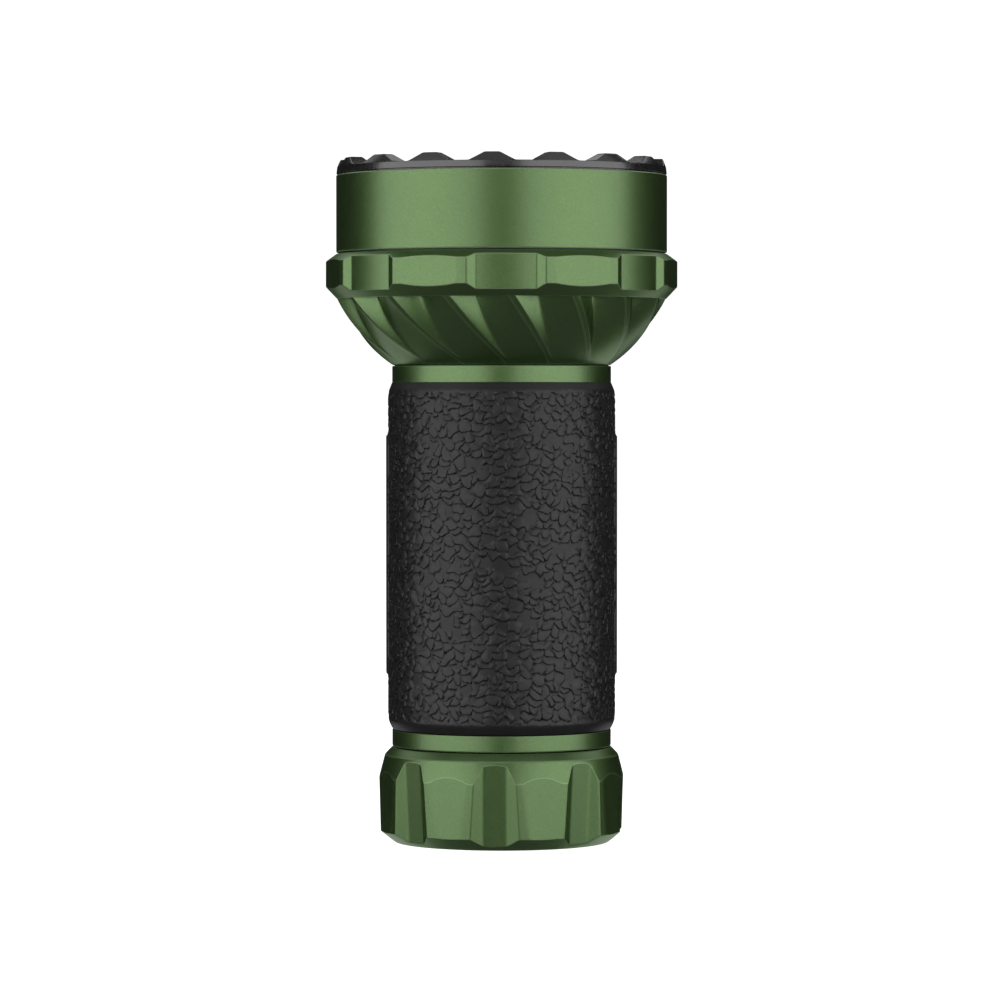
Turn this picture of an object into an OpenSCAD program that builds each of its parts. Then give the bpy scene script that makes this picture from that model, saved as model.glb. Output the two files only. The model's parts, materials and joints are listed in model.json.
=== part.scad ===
// Large-head compact flashlight, standing on its tail cap.
// Origin: centre of the tail cap's bottom face. +Z runs along the light towards the bezel.
// Angles around the light are measured from the front, which is -Y, towards +X.
// The controls are on the back, which is +Y. All sizes are in millimetres.

/* [Tail cap] */
// Radius of the tail cap at its lugs
cap_r = 22.85; // [22.4:0.05:23.4]
// Height of the tail cap
cap_h = 17.7; // [17.5:0.05:17.8]
// Number of grip grooves around the tail cap
cap_grooves = 8; // [4:1:10]
// Distance of a groove's flat floor from the axis, at the foot of the cap
cap_groove_r = 20.8; // [20.4:0.05:21.4]

/* [Battery tube] */
// Radius of the smooth rings at both ends of the tube
ring_r = 20.3; // [20:0.05:20.6]
// Radius of the tube under the sleeve
tube_r = 18.7; // [18.5:0.05:18.8]
// Height of the lower ring's bottom face
tube_ring_z = 17.9; // [17.85:0.05:18]
// Lead of the tail thread
thread_lead = 1.25; // [1:0.05:1.4]

/* [Grip sleeve] */
// Radius of the textured sleeve
sleeve_r = 21.15; // [20.9:0.05:21.4]
// Height of the sleeve's lower end
sleeve_z0 = 20.9; // [20.8:0.1:21.2]
// Height of the sleeve's upper end
sleeve_z1 = 85.2; // [85:0.1:85.2]
// Radius of the smooth raised pads on both sides of the sleeve
pad_r = 21.46; // [21.4:0.02:21.7]

/* [Head] */
// Number of twisted flutes around the bowl
flute_count = 16; // [8:1:20]
// Twist of a flute's crest at the top of the bowl, in degrees per millimetre of height
flute_twist = 1.33; // [0:0.05:2]
// Radius of the flange at its lugs
flange_r = 32.59; // [32.4:0.05:33]
// Number of grip grooves around the flange
flange_grooves = 7; // [5:1:8]
// Radius of the smooth head barrel
barrel_r = 30.67; // [30.5:0.05:30.8]

/* [Bezel and light] */
// Number of lugs around the bezel
bezel_lugs = 16; // [8:1:20]
// Height of a bezel lug above the valleys
bezel_lug_h = 1.5; // [0.8:0.1:1.6]
// Number of flood emitters around the spot reflector
flood_count = 12; // [6:1:14]

/* [Controls] */
// Height of the control knob's axis
knob_z = 66; // [65:0.5:67]
// Radius of the control knob
knob_r = 7; // [6:0.25:7.5]
// Height of the mode lever's pivot
lever_z = 50.5; // [50:0.5:51]
// Number of indicator lights over the knob
indicator_count = 7; // [3:1:9]

/* [Hidden] */
$fn = 96;
eps = 0.01;
// Running clearance between a turning or sliding piece and its guide
run_gap = 0.08;

// Tail cap
cap_foot_r = 19.8;
cap_chamfer_z = 2.2;
cap_side_r = cap_r - 0.2;
cap_shoulder_z = 12.2;
cap_shoulder_r = cap_r - 1.2;
cap_top_cone_z = 16.3;
cap_top_r = 20.3;
cap_flat_r = cap_r - 0.35;
cap_groove_floor_w = 4.4;
cap_groove_flank = 30;
cap_groove_lean = 3.68;
cap_groove_turn = -3.3;
cap_floor = 4.5;
cap_ledge_z = 9.3;
cap_pocket_r = 16;
port_r = 6;
contact_r = 3.6;
contact_recess = 0.6;
magnet_r0 = 7;
magnet_r1 = 12;
magnet_z = 1.6;
tail_board_h = 1.5;
tail_retainer_h = 1.6;
tail_retainer_r = 12.5;

// Tail thread, seal and spring
thread_r = 18.3;
thread_depth = 0.6;
thread_z0 = 9.6;
thread_z1 = 15.6;
thread_turns = 4;
cap_bore_r = thread_r + run_gap;
seal_z0 = 16.1;
seal_z1 = 17.7;
seal_r = 0.75;
seal_mid_r = cap_bore_r - seal_r - 0.05;
seal_groove_r = seal_mid_r - seal_r - 0.05;
spring_z0 = cap_floor + tail_board_h;
spring_coils = 5;
spring_wire_r = 0.55;
spring_r0 = 9;
spring_r1 = 7.5;
spring_steps = 24;
spring_sides = 8;

// Battery
battery_z0 = 15;
battery_z1 = 84.6;
battery_r = 16.1;
battery_edge_r = 0.8;
terminal_z = 85.5;
terminal_r = 5;
washer_r = 13.6;
washer_h = 0.4;

// Battery tube
tube_bore_r = 16.6;
neck_z0 = 85.3;
neck_z1 = 88.3;
neck_thread_r = 18.45;
tube_top_z = 95;
driver_shoulder_z = 88.8;
driver_shoulder_r = 15.4;

// Grip sleeve
sleeve_end_r = 20.3;
sleeve_foot_h = 3;
sleeve_top_h = 2;
sleeve_gap = 0.05;
pad_z0 = 31.1;
pad_z1 = 75.6;
pad_half_angle = 20;
pad_turn = 100;

// Control unit
plate_half_w = 10.3;
plate_z0 = 40.3;
plate_z1 = 81.7;
plate_r = 22.9;
plate_gap = 0.3;
plate_cavity_half_w = 8.6;
plate_cavity_z0 = 44.8;
plate_cavity_z1 = 77.2;
plate_cavity_y = 20.9;
plate_corner_r = 3;
gasket_h = 0.4;
knob_seat_r = 8.2;
knob_seat_y = 23.1;
pocket_half_w = 7.9;
pocket_y = 17.5;
board_half_w = 7.4;
board_z0 = 45.6;
board_z1 = 76.4;
board_y0 = 17.55;
board_y1 = 18.35;
encoder_half_w = 5.5;
encoder_y = 20.6;
plunger_r = 2;
plunger_y0 = 19.3;
plunger_y1 = 20.9;
plunger_guide_y = 18.6;
knob_shaft_r = 1;
knob_shaft_y = 20.1;
knob_hub_r = 2.4;
knob_hub_y = 21.3;
knob_y0 = 23.8;
knob_y1 = 28.2;
knob_flutes = 24;
knob_flute_r = 0.75;
inlay_r = 4.6;
inlay_h = 0.5;
indicator_arc_r = 9.4;
indicator_r = 0.6;
indicator_step = 20;
screw_x = 7.8;
screw_z0 = 42.6;
screw_z1 = 79.4;
screw_head_r = 1.3;
screw_shank_r = 0.8;
screw_tip_y = 15.4;
screw_head_y0 = 20;
screw_head_y1 = 21;
lever_y = 19.9;
lever_hub_r = 1.3;
lever_hub_half_w = 1.7;
lever_bore_r = 0.56;
lever_pin_r = 0.5;
lever_neck_half_w = 1.4;
lever_neck_h = 1.6;
lever_paddle_y0 = 23.9;
lever_paddle_y1 = 27.2;
lever_paddle_half_w = 3;
lever_slot_half_w = 2.3;
lever_slot_half_h = 2.6;
mode_body_half_w = 4.6;
mode_body_half_h = 4.4;
mode_body_y = 20.6;
mode_body_slot_half_w = 2;

// Driver
driver_z0 = 87.2;
driver_r = 16.5;
driver_contact_r = 4.5;
driver_contact_z = 85.8;
driver_retainer_r = 14.2;
driver_retainer_z = 85.9;
driver_top_z = 94;

// Head body: bowl, flange and heat sink
bowl_z0 = 88.45;
bowl_z1 = 101.4;
bowl_arc_r = 29.9;
bowl_arc_axis_r = 3.3;
bowl_arc_z = 113.12;
bowl_rings = 14;
flute_turn = -18.2;
flute_fade_z = 89.3;
flute_wall_angle = 8.8;
flute_wall_slope = 30;
flute_crest_angle = 2.4;
flange_z0 = 100.7;
flange_side_z0 = 102.9;
flange_side_z1 = 107.6;
flange_z1 = 109;
flange_foot_r = 30.5;
flange_floor_r = flange_r - 0.94;
flange_flat_r = flange_r - 0.46;
flange_floor_half = 10;
flange_flank_slope = 2.85;
flange_turn = 1.5;
shelf_z0 = 95.3;
shelf_z1 = 100.2;
well_r = 17.5;
spigot_r = 28.55;
spigot_z = 112.8;
flood_shelf_z = 110.2;
flood_pocket_r = 26.4;
wire_r = 0.9;
wire_x = 10.5;
board_screw_y = 12;
board_screw_r = 1.2;
board_screw_head_r = 2.2;

// Optics
spot_board_z = 101.8;
spot_board_r = 17;
spot_focus_z = 102.9;
spot_focal = 3.26;
spot_top_r = 16.6;
spot_rim_r = 17.4;
spot_wall = 0.9;
optics_z = 120.9;
flood_board_z = 111.4;
flood_board_r0 = 18.2;
flood_board_r1 = 26.2;
flood_circle_r = 22.2;
flood_cup_r = 4.1;
flood_cup_foot_r = 2.4;
flood_cup_z = 111.7;
flood_rim_r = 27.4;
flood_rim_z = 113;
flood_body_r = 26.2;
gasket_z = 121.3;
gasket_r0 = 26.6;
lens_r = 27.5;
lens_z = 123.9;
lens_edge = 0.35;

// Barrel and bezel
barrel_z0 = 109.25;
barrel_z1 = 123.6;
barrel_bore_r = 28.6;
barrel_edge = 0.25;
bezel_r = 30.63;
bezel_band_r = 30.5;
bezel_neck_r = 30.2;
bezel_z0 = 123.8;
bezel_band_z = 125;
bezel_top_z = 126.55;
bezel_top_r = 29.9;
bezel_inner_top_r = 27.5;
bezel_skirt_r = 28.55;
bezel_skirt_z = 118.5;
bezel_pocket_r = 27.6;
bezel_open_r = 26.3;
bezel_lip_z = 124.5;
bezel_lug_turn = -3.3;
bezel_lug_top_w = 3;
bezel_flank_w = 2.7;

green = [0.3, 0.42, 0.22];
black = [0.09, 0.09, 0.1];
rubber = [0.16, 0.16, 0.17];
steel = [0.75, 0.76, 0.78];
brass = [0.8, 0.64, 0.32];
board_green = [0.1, 0.3, 0.2];
board_white = [0.9, 0.9, 0.88];
phosphor = [0.93, 0.82, 0.3];

// ---- Helpers ----

// Turns its children to an angle measured from the front towards +X
module around(angle) {
    rotate([0, 0, angle]) children();
}

// A flat ring
module ring(r0, r1, z0, z1) {
    translate([0, 0, z0]) difference() {
        cylinder(r = r1, h = z1 - z0);
        translate([0, 0, -1]) cylinder(r = r0, h = z1 - z0 + 2);
    }
}

// A round bar along +Y, from y0 to y1, at height z
module bar_y(r, y0, y1, z, x = 0) {
    translate([x, y0, z]) rotate([-90, 0, 0]) cylinder(r = r, h = y1 - y0);
}

// A box given by its half width in x, and its limits in y and z
module slab(half_w, y0, y1, z0, z1) {
    translate([-half_w, y0, z0]) cube([2 * half_w, y1 - y0, z1 - z0]);
}

// A box with rounded vertical edges, seen along Y
module round_slab(half_w, y0, y1, z0, z1, r) {
    union() {
        slab(half_w, y0, y1, z0 + r, z1 - r);
        slab(half_w - r, y0, y1, z0, z1);
        for (x = [r - half_w, half_w - r], z = [z0 + r, z1 - r]) bar_y(r, y0, y1, z, x);
    }
}

// ---- Tail cap and what it holds ----

// Cuts one grip groove with a flat floor and sloped flanks, which gets deeper towards the foot
module cap_groove() {
    reach = 4;
    half = cap_groove_floor_w / 2;
    wide = half + reach / tan(cap_groove_flank);
    translate([0, -cap_groove_r, 0]) rotate([cap_groove_lean, 0, 0]) translate([0, 0, -2])
        linear_extrude(cap_h + 6) polygon([
            [-half, 0],
            [half, 0],
            [wide, -reach],
            [-wide, -reach]
        ]);
}

module tail_cap() {
    color(green) difference() {
        rotate_extrude() polygon([
            [0, 0],
            [cap_foot_r, 0],
            [cap_side_r, cap_chamfer_z],
            [cap_r, cap_shoulder_z],
            [cap_shoulder_r, cap_top_cone_z],
            [cap_top_r, cap_h],
            [0, cap_h]
        ]);
        for (i = [0 : cap_grooves - 1]) {
            around(cap_groove_turn + i * 360 / cap_grooves) cap_groove();
            around(cap_groove_turn + (i + 0.5) * 360 / cap_grooves)
                translate([-cap_r, -cap_flat_r - cap_r, -1]) cube([2 * cap_r, cap_r, cap_h + 2]);
        }
        translate([0, 0, cap_ledge_z]) cylinder(r = cap_bore_r, h = cap_h);
        translate([0, 0, cap_floor]) cylinder(r = cap_pocket_r, h = cap_h);
        translate([0, 0, -1]) cylinder(r = port_r, h = cap_h);
        ring(magnet_r0, magnet_r1, magnet_z, cap_floor + 1);
    }
}

module charge_insulator() {
    color(black) ring(contact_r, port_r, contact_recess + 0.3, cap_floor);
}

module charge_contact() {
    color(brass) translate([0, 0, contact_recess]) cylinder(r = contact_r, h = cap_floor - contact_recess);
}

module tail_magnet() {
    color(steel) ring(magnet_r0 + 0.1, magnet_r1 - 0.1, magnet_z + 0.05, cap_floor - 0.05);
}

module tail_board() {
    color(board_green) translate([0, 0, cap_floor]) cylinder(r = cap_pocket_r - 0.1, h = tail_board_h);
}

module tail_retainer() {
    z0 = cap_floor + tail_board_h;
    color(brass) difference() {
        ring(tail_retainer_r, cap_pocket_r - 0.03, z0, z0 + tail_retainer_h);
        for (a = [0, 180]) around(a) bar_y(0.9, -cap_pocket_r, -tail_retainer_r + 1, z0 + tail_retainer_h);
    }
}

// Centre of the spring's wire at step i
function spring_point(i) =
    let (
        n = spring_coils * spring_steps,
        t = i / n,
        flat = 0.75 * spring_steps / n,
        rise = min(max((t - flat) / (1 - 2 * flat), 0), 1),
        lap = 2 * spring_wire_r * min(t / flat, 1, (1 - t) / flat) * 1.08,
        low = spring_z0 + spring_wire_r,
        high = battery_z0 - spring_wire_r,
        z = t < flat ? low + lap : t > 1 - flat ? high - lap
            : low + 2.16 * spring_wire_r + rise * (high - low - 4.32 * spring_wire_r),
        r = spring_r0 + (spring_r1 - spring_r0) * t,
        a = 360 * i / spring_steps
    ) [r * cos(a), r * sin(a), z];

module tail_spring() {
    n = spring_coils * spring_steps;
    points = [
        for (i = [0 : n], j = [0 : spring_sides - 1])
            let (
                c = spring_point(i),
                a = 360 * i / spring_steps,
                b = -360 * j / spring_sides,
                out = spring_wire_r * cos(b)
            ) [c[0] + out * cos(a), c[1] + out * sin(a), c[2] + spring_wire_r * sin(b)]
    ];
    faces = [
        for (i = [0 : n - 1], j = [0 : spring_sides - 1])
            let (
                k = (j + 1) % spring_sides,
                a = i * spring_sides,
                b = (i + 1) * spring_sides
            ) each [[a + j, a + k, b + k], [a + j, b + k, b + j]]
    ];
    first = [for (j = [spring_sides - 1 : -1 : 0]) j];
    last = [for (j = [0 : spring_sides - 1]) n * spring_sides + j];
    color(steel) polyhedron(points, concat(faces, [first, last]));
}

module tail_seal() {
    color(black) rotate_extrude()
        translate([seal_mid_r, (seal_z0 + seal_z1) / 2]) circle(r = seal_r, $fn = 32);
}

// ---- Battery ----

module battery_cell() {
    color([0.12, 0.2, 0.42]) difference() {
        rotate_extrude() polygon([
            [0, battery_z0],
            [battery_r - battery_edge_r, battery_z0],
            [battery_r, battery_z0 + battery_edge_r],
            [battery_r, battery_z1 - battery_edge_r],
            [battery_r - battery_edge_r, battery_z1],
            [0, battery_z1]
        ]);
        translate([0, 0, battery_z1 - washer_h]) cylinder(r = washer_r, h = 2);
    }
}

module battery_washer() {
    color([0.9, 0.9, 0.9]) ring(terminal_r, washer_r, battery_z1 - washer_h, battery_z1);
}

module battery_terminal() {
    z0 = battery_z1 - washer_h;
    color(steel) translate([0, 0, z0]) cylinder(r = terminal_r, h = terminal_z - z0);
}

// ---- Battery tube and grip ----

// Ring grooves that stand for the tail thread's turns
module thread_grooves() {
    count = floor((thread_z1 - thread_z0 - 1) / thread_lead);
    for (i = [0 : count - 1]) translate([0, 0, thread_z0 + 0.8 + i * thread_lead]) rotate_extrude() polygon([
        [thread_r - thread_depth, thread_lead * 0.4],
        [thread_r + 0.2, thread_lead * 0.12],
        [thread_r + 0.2, thread_lead * 0.88],
        [thread_r - thread_depth, thread_lead * 0.6]
    ]);
}

module battery_tube() {
    color(green) difference() {
        rotate_extrude() polygon([
            [0, thread_z0],
            [thread_r - 0.4, thread_z0],
            [thread_r, thread_z0 + 0.4],
            [thread_r, thread_z1],
            [seal_groove_r, thread_z1],
            [seal_groove_r, tube_ring_z],
            [ring_r - 0.2, tube_ring_z],
            [ring_r, tube_ring_z + 0.2],
            [ring_r, sleeve_z0 - 0.1],
            [tube_r, sleeve_z0 - 0.1],
            [tube_r, neck_z0],
            [ring_r - 0.15, neck_z0],
            [ring_r, neck_z0 + 0.15],
            [ring_r, neck_z1 - 0.15],
            [ring_r - 0.15, neck_z1],
            [neck_thread_r, neck_z1],
            [neck_thread_r, tube_top_z],
            [0, tube_top_z]
        ]);
        translate([0, 0, thread_z0 - 1]) cylinder(r = tube_bore_r, h = driver_shoulder_z - thread_z0 + 1);
        translate([0, 0, thread_z0]) cylinder(r = driver_shoulder_r, h = tube_top_z);
        thread_grooves();
        slab(pocket_half_w, pocket_y, pocket_y + 5, board_z0 - 0.4, board_z1 + 0.4);
        plate_screw_places() bar_y(screw_shank_r, screw_tip_y, screw_head_y0, 0);
    }
}

module grip_sleeve() {
    bore = tube_r + sleeve_gap;
    color(rubber) difference() {
        union() {
            rotate_extrude() polygon([
                [bore, sleeve_z0],
                [sleeve_end_r - 0.3, sleeve_z0],
                [sleeve_end_r, sleeve_z0 + 0.3],
                [sleeve_end_r + 0.65, sleeve_z0 + sleeve_foot_h * 0.5],
                [sleeve_r, sleeve_z0 + sleeve_foot_h],
                [sleeve_r, sleeve_z1 - sleeve_top_h],
                [sleeve_end_r + 0.05, sleeve_z1],
                [bore, sleeve_z1]
            ]);
            for (turn = [-pad_turn, pad_turn]) around(turn - pad_half_angle - 90) translate([0, 0, pad_z0])
                rotate_extrude(angle = 2 * pad_half_angle)
                    translate([sleeve_r - 1, 0]) square([pad_r - sleeve_r + 1, pad_z1 - pad_z0]);
        }
        round_slab(plate_half_w + plate_gap, 5, 30, plate_z0 - plate_gap, plate_z1 + plate_gap,
            plate_corner_r + plate_gap);
    }
}

module neck_seal() {
    color(black) ring(neck_thread_r + 0.1, ring_r - 0.45, neck_z1, neck_z1 + 0.12);
}

// ---- Driver ----

module driver_board() {
    color(board_green) difference() {
        translate([0, 0, driver_z0]) cylinder(r = driver_r, h = driver_shoulder_z - driver_z0);
        for (x = [-wire_x, wire_x]) translate([x, 0, driver_z0 - 1]) cylinder(r = wire_r, h = 4);
    }
}

module driver_parts() {
    z = driver_shoulder_z;
    color([0.2, 0.2, 0.22]) union() {
        translate([0, 8.5, z]) cylinder(r = 5, h = driver_top_z - z);
        for (x = [-11.5, 8.5], y = [3, -7]) translate([x, y, z]) cube([3, 4, 1.1]);
        translate([-4, -6, z]) cube([8, 5, 1.2]);
        for (x = [-5 : 2.5 : 5]) translate([x - 0.6, -11.5, z]) cube([1.2, 2, 1]);
    }
}

module driver_contact() {
    color(brass) translate([0, 0, driver_contact_z]) cylinder(r = driver_contact_r, h = driver_z0 - driver_contact_z);
}

module driver_retainer() {
    color(brass) difference() {
        ring(driver_retainer_r, tube_bore_r - 0.03, driver_retainer_z, driver_z0);
        for (a = [0, 180]) around(a) bar_y(0.9, -tube_bore_r, -driver_retainer_r + 1, driver_retainer_z);
    }
}

module led_wires() {
    color("crimson") for (x = [-wire_x, wire_x])
        translate([x, 0, driver_z0]) cylinder(r = wire_r - 0.05, h = spot_board_z + 0.6 - driver_z0);
}

// ---- Head body ----

// Radius of the bowl's outer surface at height z
function bowl_radius(z) = bowl_arc_axis_r + sqrt(pow(bowl_arc_r, 2) - pow(bowl_arc_z - z, 2));

// Angle of a flute's crest edge at height z
function crest_angle(z) = let (t = 101 - z) flute_turn + flute_twist * t + 0.0034 * pow(t, 3);

// How much of a flute's full size is left at height z
function flute_share(z) = min(max((z - flute_fade_z) / (flange_z0 - flute_fade_z), 0.002), 1);

// One flute at height z, as [angle, radius] pairs: short wall, valley, long wall, crest
function flute_points(z) =
    let (
        r = bowl_radius(z),
        a = crest_angle(z),
        wall = flute_wall_angle * flute_share(z),
        depth = r * wall * PI / 180 * tan(flute_wall_slope),
        long = 360 / flute_count - wall - flute_crest_angle
    ) [
        [a, r],
        [a + wall / 2, r - depth / 2],
        [a + wall, r - depth],
        [a + wall + long / 4, r - depth * 0.75],
        [a + wall + long / 2, r - depth / 2],
        [a + wall + long * 3 / 4, r - depth / 4],
        [a + wall + long, r]
    ];

module fluted_bowl() {
    side = len(flute_points(bowl_z1));
    n = side * flute_count;
    rings = [
        for (i = [0 : bowl_rings])
            let (z = bowl_z0 + (bowl_z1 - bowl_z0) * i / bowl_rings, flute = flute_points(z))
            [for (k = [0 : flute_count - 1], p = flute)
                let (a = p[0] + k * 360 / flute_count) [p[1] * sin(a), -p[1] * cos(a), z]]
    ];
    walls = [
        for (i = [0 : bowl_rings - 1], j = [0 : n - 1])
            let (k = (j + 1) % n, low = i * n, high = (i + 1) * n)
            each [[low + j, high + j, high + k], [low + j, high + k, low + k]]
    ];
    top = bowl_rings * n;
    caps = [
        for (j = [0 : n - 1])
            let (k = (j + 1) % n)
            each [[top + n, j, k], [top + n + 1, top + k, top + j]]
    ];
    centres = [[0, 0, bowl_z0], [0, 0, bowl_z1]];
    polyhedron(concat([for (one = rings) each one], centres), concat(walls, caps));
}

// Cuts one flange groove: a round floor between two sloped flanks
module flange_groove() {
    reach = 2.5;
    half = flange_floor_half;
    wide = half + flange_flank_slope * reach;
    low_r = flange_floor_r - 1;
    low = half - flange_flank_slope;
    difference() {
        translate([0, 0, flange_z0 - 1]) linear_extrude(flange_z1 - flange_z0 + 2) polygon([
            [low_r * sin(-low), -low_r * cos(low)],
            [low_r * sin(low), -low_r * cos(low)],
            [(flange_floor_r + reach) * sin(wide), -(flange_floor_r + reach) * cos(wide)],
            [0, -flange_r - 3],
            [(flange_floor_r + reach) * sin(-wide), -(flange_floor_r + reach) * cos(wide)]
        ]);
        cylinder(r = flange_floor_r, h = 2 * flange_z1);
    }
}

module flange() {
    difference() {
        rotate_extrude() polygon([
            [0, flange_z0],
            [flange_foot_r, flange_z0],
            [flange_r, flange_side_z0],
            [flange_r, flange_side_z1],
            [barrel_r, flange_z1],
            [0, flange_z1]
        ]);
        for (i = [0 : flange_grooves - 1]) {
            around(flange_turn + i * 360 / flange_grooves) flange_groove();
            around(flange_turn + (i + 0.5) * 360 / flange_grooves)
                translate([-10, -flange_flat_r - 3, flange_z0 - 1]) cube([20, 3, flange_z1 - flange_z0 + 2]);
        }
    }
}

module head_body() {
    color(green) difference() {
        union() {
            fluted_bowl();
            flange();
            translate([0, 0, flange_z0 + 2]) cylinder(r = spigot_r, h = spigot_z - flange_z0 - 2);
        }
        translate([0, 0, bowl_z0 - 1]) cylinder(r = neck_thread_r + 0.05, h = shelf_z0 - bowl_z0 + 1);
        translate([0, 0, shelf_z1]) cylinder(r = well_r, h = 20);
        translate([0, 0, flood_shelf_z]) cylinder(r = flood_pocket_r, h = 20);
        for (x = [-wire_x, wire_x]) translate([x, 0, shelf_z0 - 1]) cylinder(r = wire_r + 0.2, h = 10);
        for (y = [-board_screw_y, board_screw_y])
            translate([0, y, shelf_z0 + 1.2]) cylinder(r = board_screw_r, h = 10);
    }
}

module barrel_seal() {
    color(black) ring(spigot_r + 0.05, barrel_r - 0.5, flange_z1, barrel_z0);
}

module head_barrel() {
    color(green) rotate_extrude() polygon([
        [barrel_bore_r, barrel_z0],
        [barrel_r - barrel_edge, barrel_z0],
        [barrel_r, barrel_z0 + barrel_edge],
        [barrel_r, barrel_z1 - barrel_edge],
        [barrel_r - barrel_edge, barrel_z1],
        [barrel_bore_r, barrel_z1]
    ]);
}

// ---- Bezel, lens and optics ----

module bezel_valley() {
    pitch = 2 * PI * bezel_top_r / bezel_lugs;
    floor_w = pitch - bezel_lug_top_w - 2 * bezel_flank_w;
    z0 = bezel_top_z - bezel_lug_h;
    reach = 1;
    low = floor_w / 2;
    high = low + bezel_flank_w * (bezel_lug_h + reach) / bezel_lug_h;
    translate([0, -bezel_r + 8, 0]) rotate([90, 0, 0]) linear_extrude(12) polygon([
        [-low, z0],
        [low, z0],
        [high, bezel_top_z + reach],
        [-high, bezel_top_z + reach]
    ]);
}

module bezel_ring() {
    color(black) difference() {
        rotate_extrude() polygon([
            [bezel_pocket_r, bezel_skirt_z],
            [bezel_skirt_r, bezel_skirt_z],
            [bezel_skirt_r, barrel_z1],
            [bezel_neck_r, barrel_z1],
            [bezel_neck_r, bezel_z0],
            [bezel_r, bezel_z0],
            [bezel_band_r, bezel_band_z],
            [bezel_top_r, bezel_top_z],
            [bezel_inner_top_r, bezel_top_z],
            [bezel_open_r, bezel_lip_z + 0.5],
            [bezel_open_r, bezel_lip_z],
            [bezel_pocket_r, bezel_lip_z]
        ]);
        for (i = [0 : bezel_lugs - 1])
            around(bezel_lug_turn + (i + 0.5) * 360 / bezel_lugs) bezel_valley();
    }
}

module lens_seal() {
    color(black) ring(bezel_open_r + 0.1, lens_r, lens_z, bezel_lip_z);
}

module front_lens() {
    color([0.8, 0.9, 0.95, 0.4]) rotate_extrude() polygon([
        [0, gasket_z],
        [lens_r - lens_edge, gasket_z],
        [lens_r, gasket_z + lens_edge],
        [lens_r, lens_z - lens_edge],
        [lens_r - lens_edge, lens_z],
        [0, lens_z]
    ]);
}

module lens_gasket() {
    color(black) ring(gasket_r0, lens_r, optics_z, gasket_z);
}

// Radius of the spot reflector's mirror at height z
function mirror_radius(z) = 2 * sqrt(spot_focal * (spot_focal + z - spot_focus_z));

module spot_reflector() {
    steps = 16;
    inside = [for (i = [0 : steps]) let (z = spot_focus_z + (optics_z - spot_focus_z) * i / steps)
        [min(mirror_radius(z), spot_top_r), z]];
    outside = [for (i = [steps : -1 : 4]) let (z = spot_focus_z + (optics_z - spot_focus_z) * i / steps)
        [min(mirror_radius(z) + spot_wall, spot_rim_r - 0.05), z - spot_wall]];
    color(steel) rotate_extrude() polygon(concat(
        [[mirror_radius(spot_focus_z), spot_board_z + 0.2]],
        inside,
        [[spot_rim_r, optics_z], [spot_rim_r, optics_z - spot_wall]],
        outside,
        [[mirror_radius(spot_focus_z) + 2.2, spot_board_z + 0.2]]
    ));
}

// One flood cup, as a smooth flare from its foot to its mouth
module flood_cup() {
    steps = 8;
    height = optics_z - flood_cup_z;
    wall = [for (i = [0 : steps]) let (t = i / steps)
        [flood_cup_foot_r + (flood_cup_r - flood_cup_foot_r) * sin(90 * t), flood_cup_z + height * t]];
    rotate_extrude($fn = 48) polygon(concat(
        [[0, flood_cup_z - 1], [flood_cup_foot_r, flood_cup_z - 1]],
        wall,
        [[flood_cup_r, optics_z + 1], [0, optics_z + 1]]
    ));
}

module flood_reflector() {
    color(steel) difference() {
        rotate_extrude() polygon([
            [spot_rim_r + 0.1, flood_cup_z],
            [flood_body_r, flood_cup_z],
            [flood_body_r, flood_rim_z],
            [flood_rim_r, flood_rim_z],
            [flood_rim_r, optics_z],
            [spot_rim_r + 0.1, optics_z]
        ]);
        for (i = [0 : flood_count - 1])
            around(i * 360 / flood_count) translate([0, -flood_circle_r, 0]) flood_cup();
    }
}

module spot_board() {
    color(board_white) difference() {
        translate([0, 0, shelf_z1]) cylinder(r = spot_board_r, h = spot_board_z - shelf_z1);
        for (x = [-wire_x, wire_x]) translate([x, 0, shelf_z1 - 1]) cylinder(r = wire_r, h = 5);
        for (y = [-board_screw_y, board_screw_y])
            translate([0, y, shelf_z1 - 1]) cylinder(r = board_screw_r, h = 5);
    }
}

module spot_led() {
    color(phosphor) union() {
        translate([-3.5, -3.5, spot_board_z]) cube([7, 7, 0.9]);
        translate([-2.5, -2.5, spot_board_z + 0.8]) cube([5, 5, 0.4]);
    }
}

module board_screws() {
    color(steel) for (y = [-board_screw_y, board_screw_y]) translate([0, y, 0]) difference() {
        union() {
            translate([0, 0, shelf_z0 + 1.4]) cylinder(r = board_screw_r, h = spot_board_z - shelf_z0 - 1);
            translate([0, 0, spot_board_z]) cylinder(r = board_screw_head_r, h = 1.5);
        }
        translate([0, 0, spot_board_z + 0.6]) cylinder(r = 1.1, h = 2, $fn = 6);
    }
}

module flood_board() {
    color(board_white) ring(flood_board_r0, flood_board_r1, flood_shelf_z, flood_board_z);
}

module flood_leds() {
    color(phosphor) for (i = [0 : flood_count - 1])
        around(i * 360 / flood_count) translate([0, -flood_circle_r, flood_board_z]) union() {
            translate([-1.5, -1.5, 0]) cube([3, 3, 0.6]);
            translate([0, 0, 0.5]) cylinder(r = 1.1, h = 0.4, $fn = 32);
        }
}

// ---- Controls ----

// Puts its children at the four corner screws of the control plate
module plate_screw_places() {
    for (x = [-screw_x, screw_x], z = [screw_z0, screw_z1]) translate([x, 0, z]) children();
}

// Puts its children at each indicator light, on an arc over the knob
module indicator_places() {
    for (i = [0 : indicator_count - 1]) {
        a = (i - (indicator_count - 1) / 2) * indicator_step * 7 / indicator_count;
        translate([indicator_arc_r * sin(a), 0, knob_z + indicator_arc_r * cos(a)]) children();
    }
}

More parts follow.
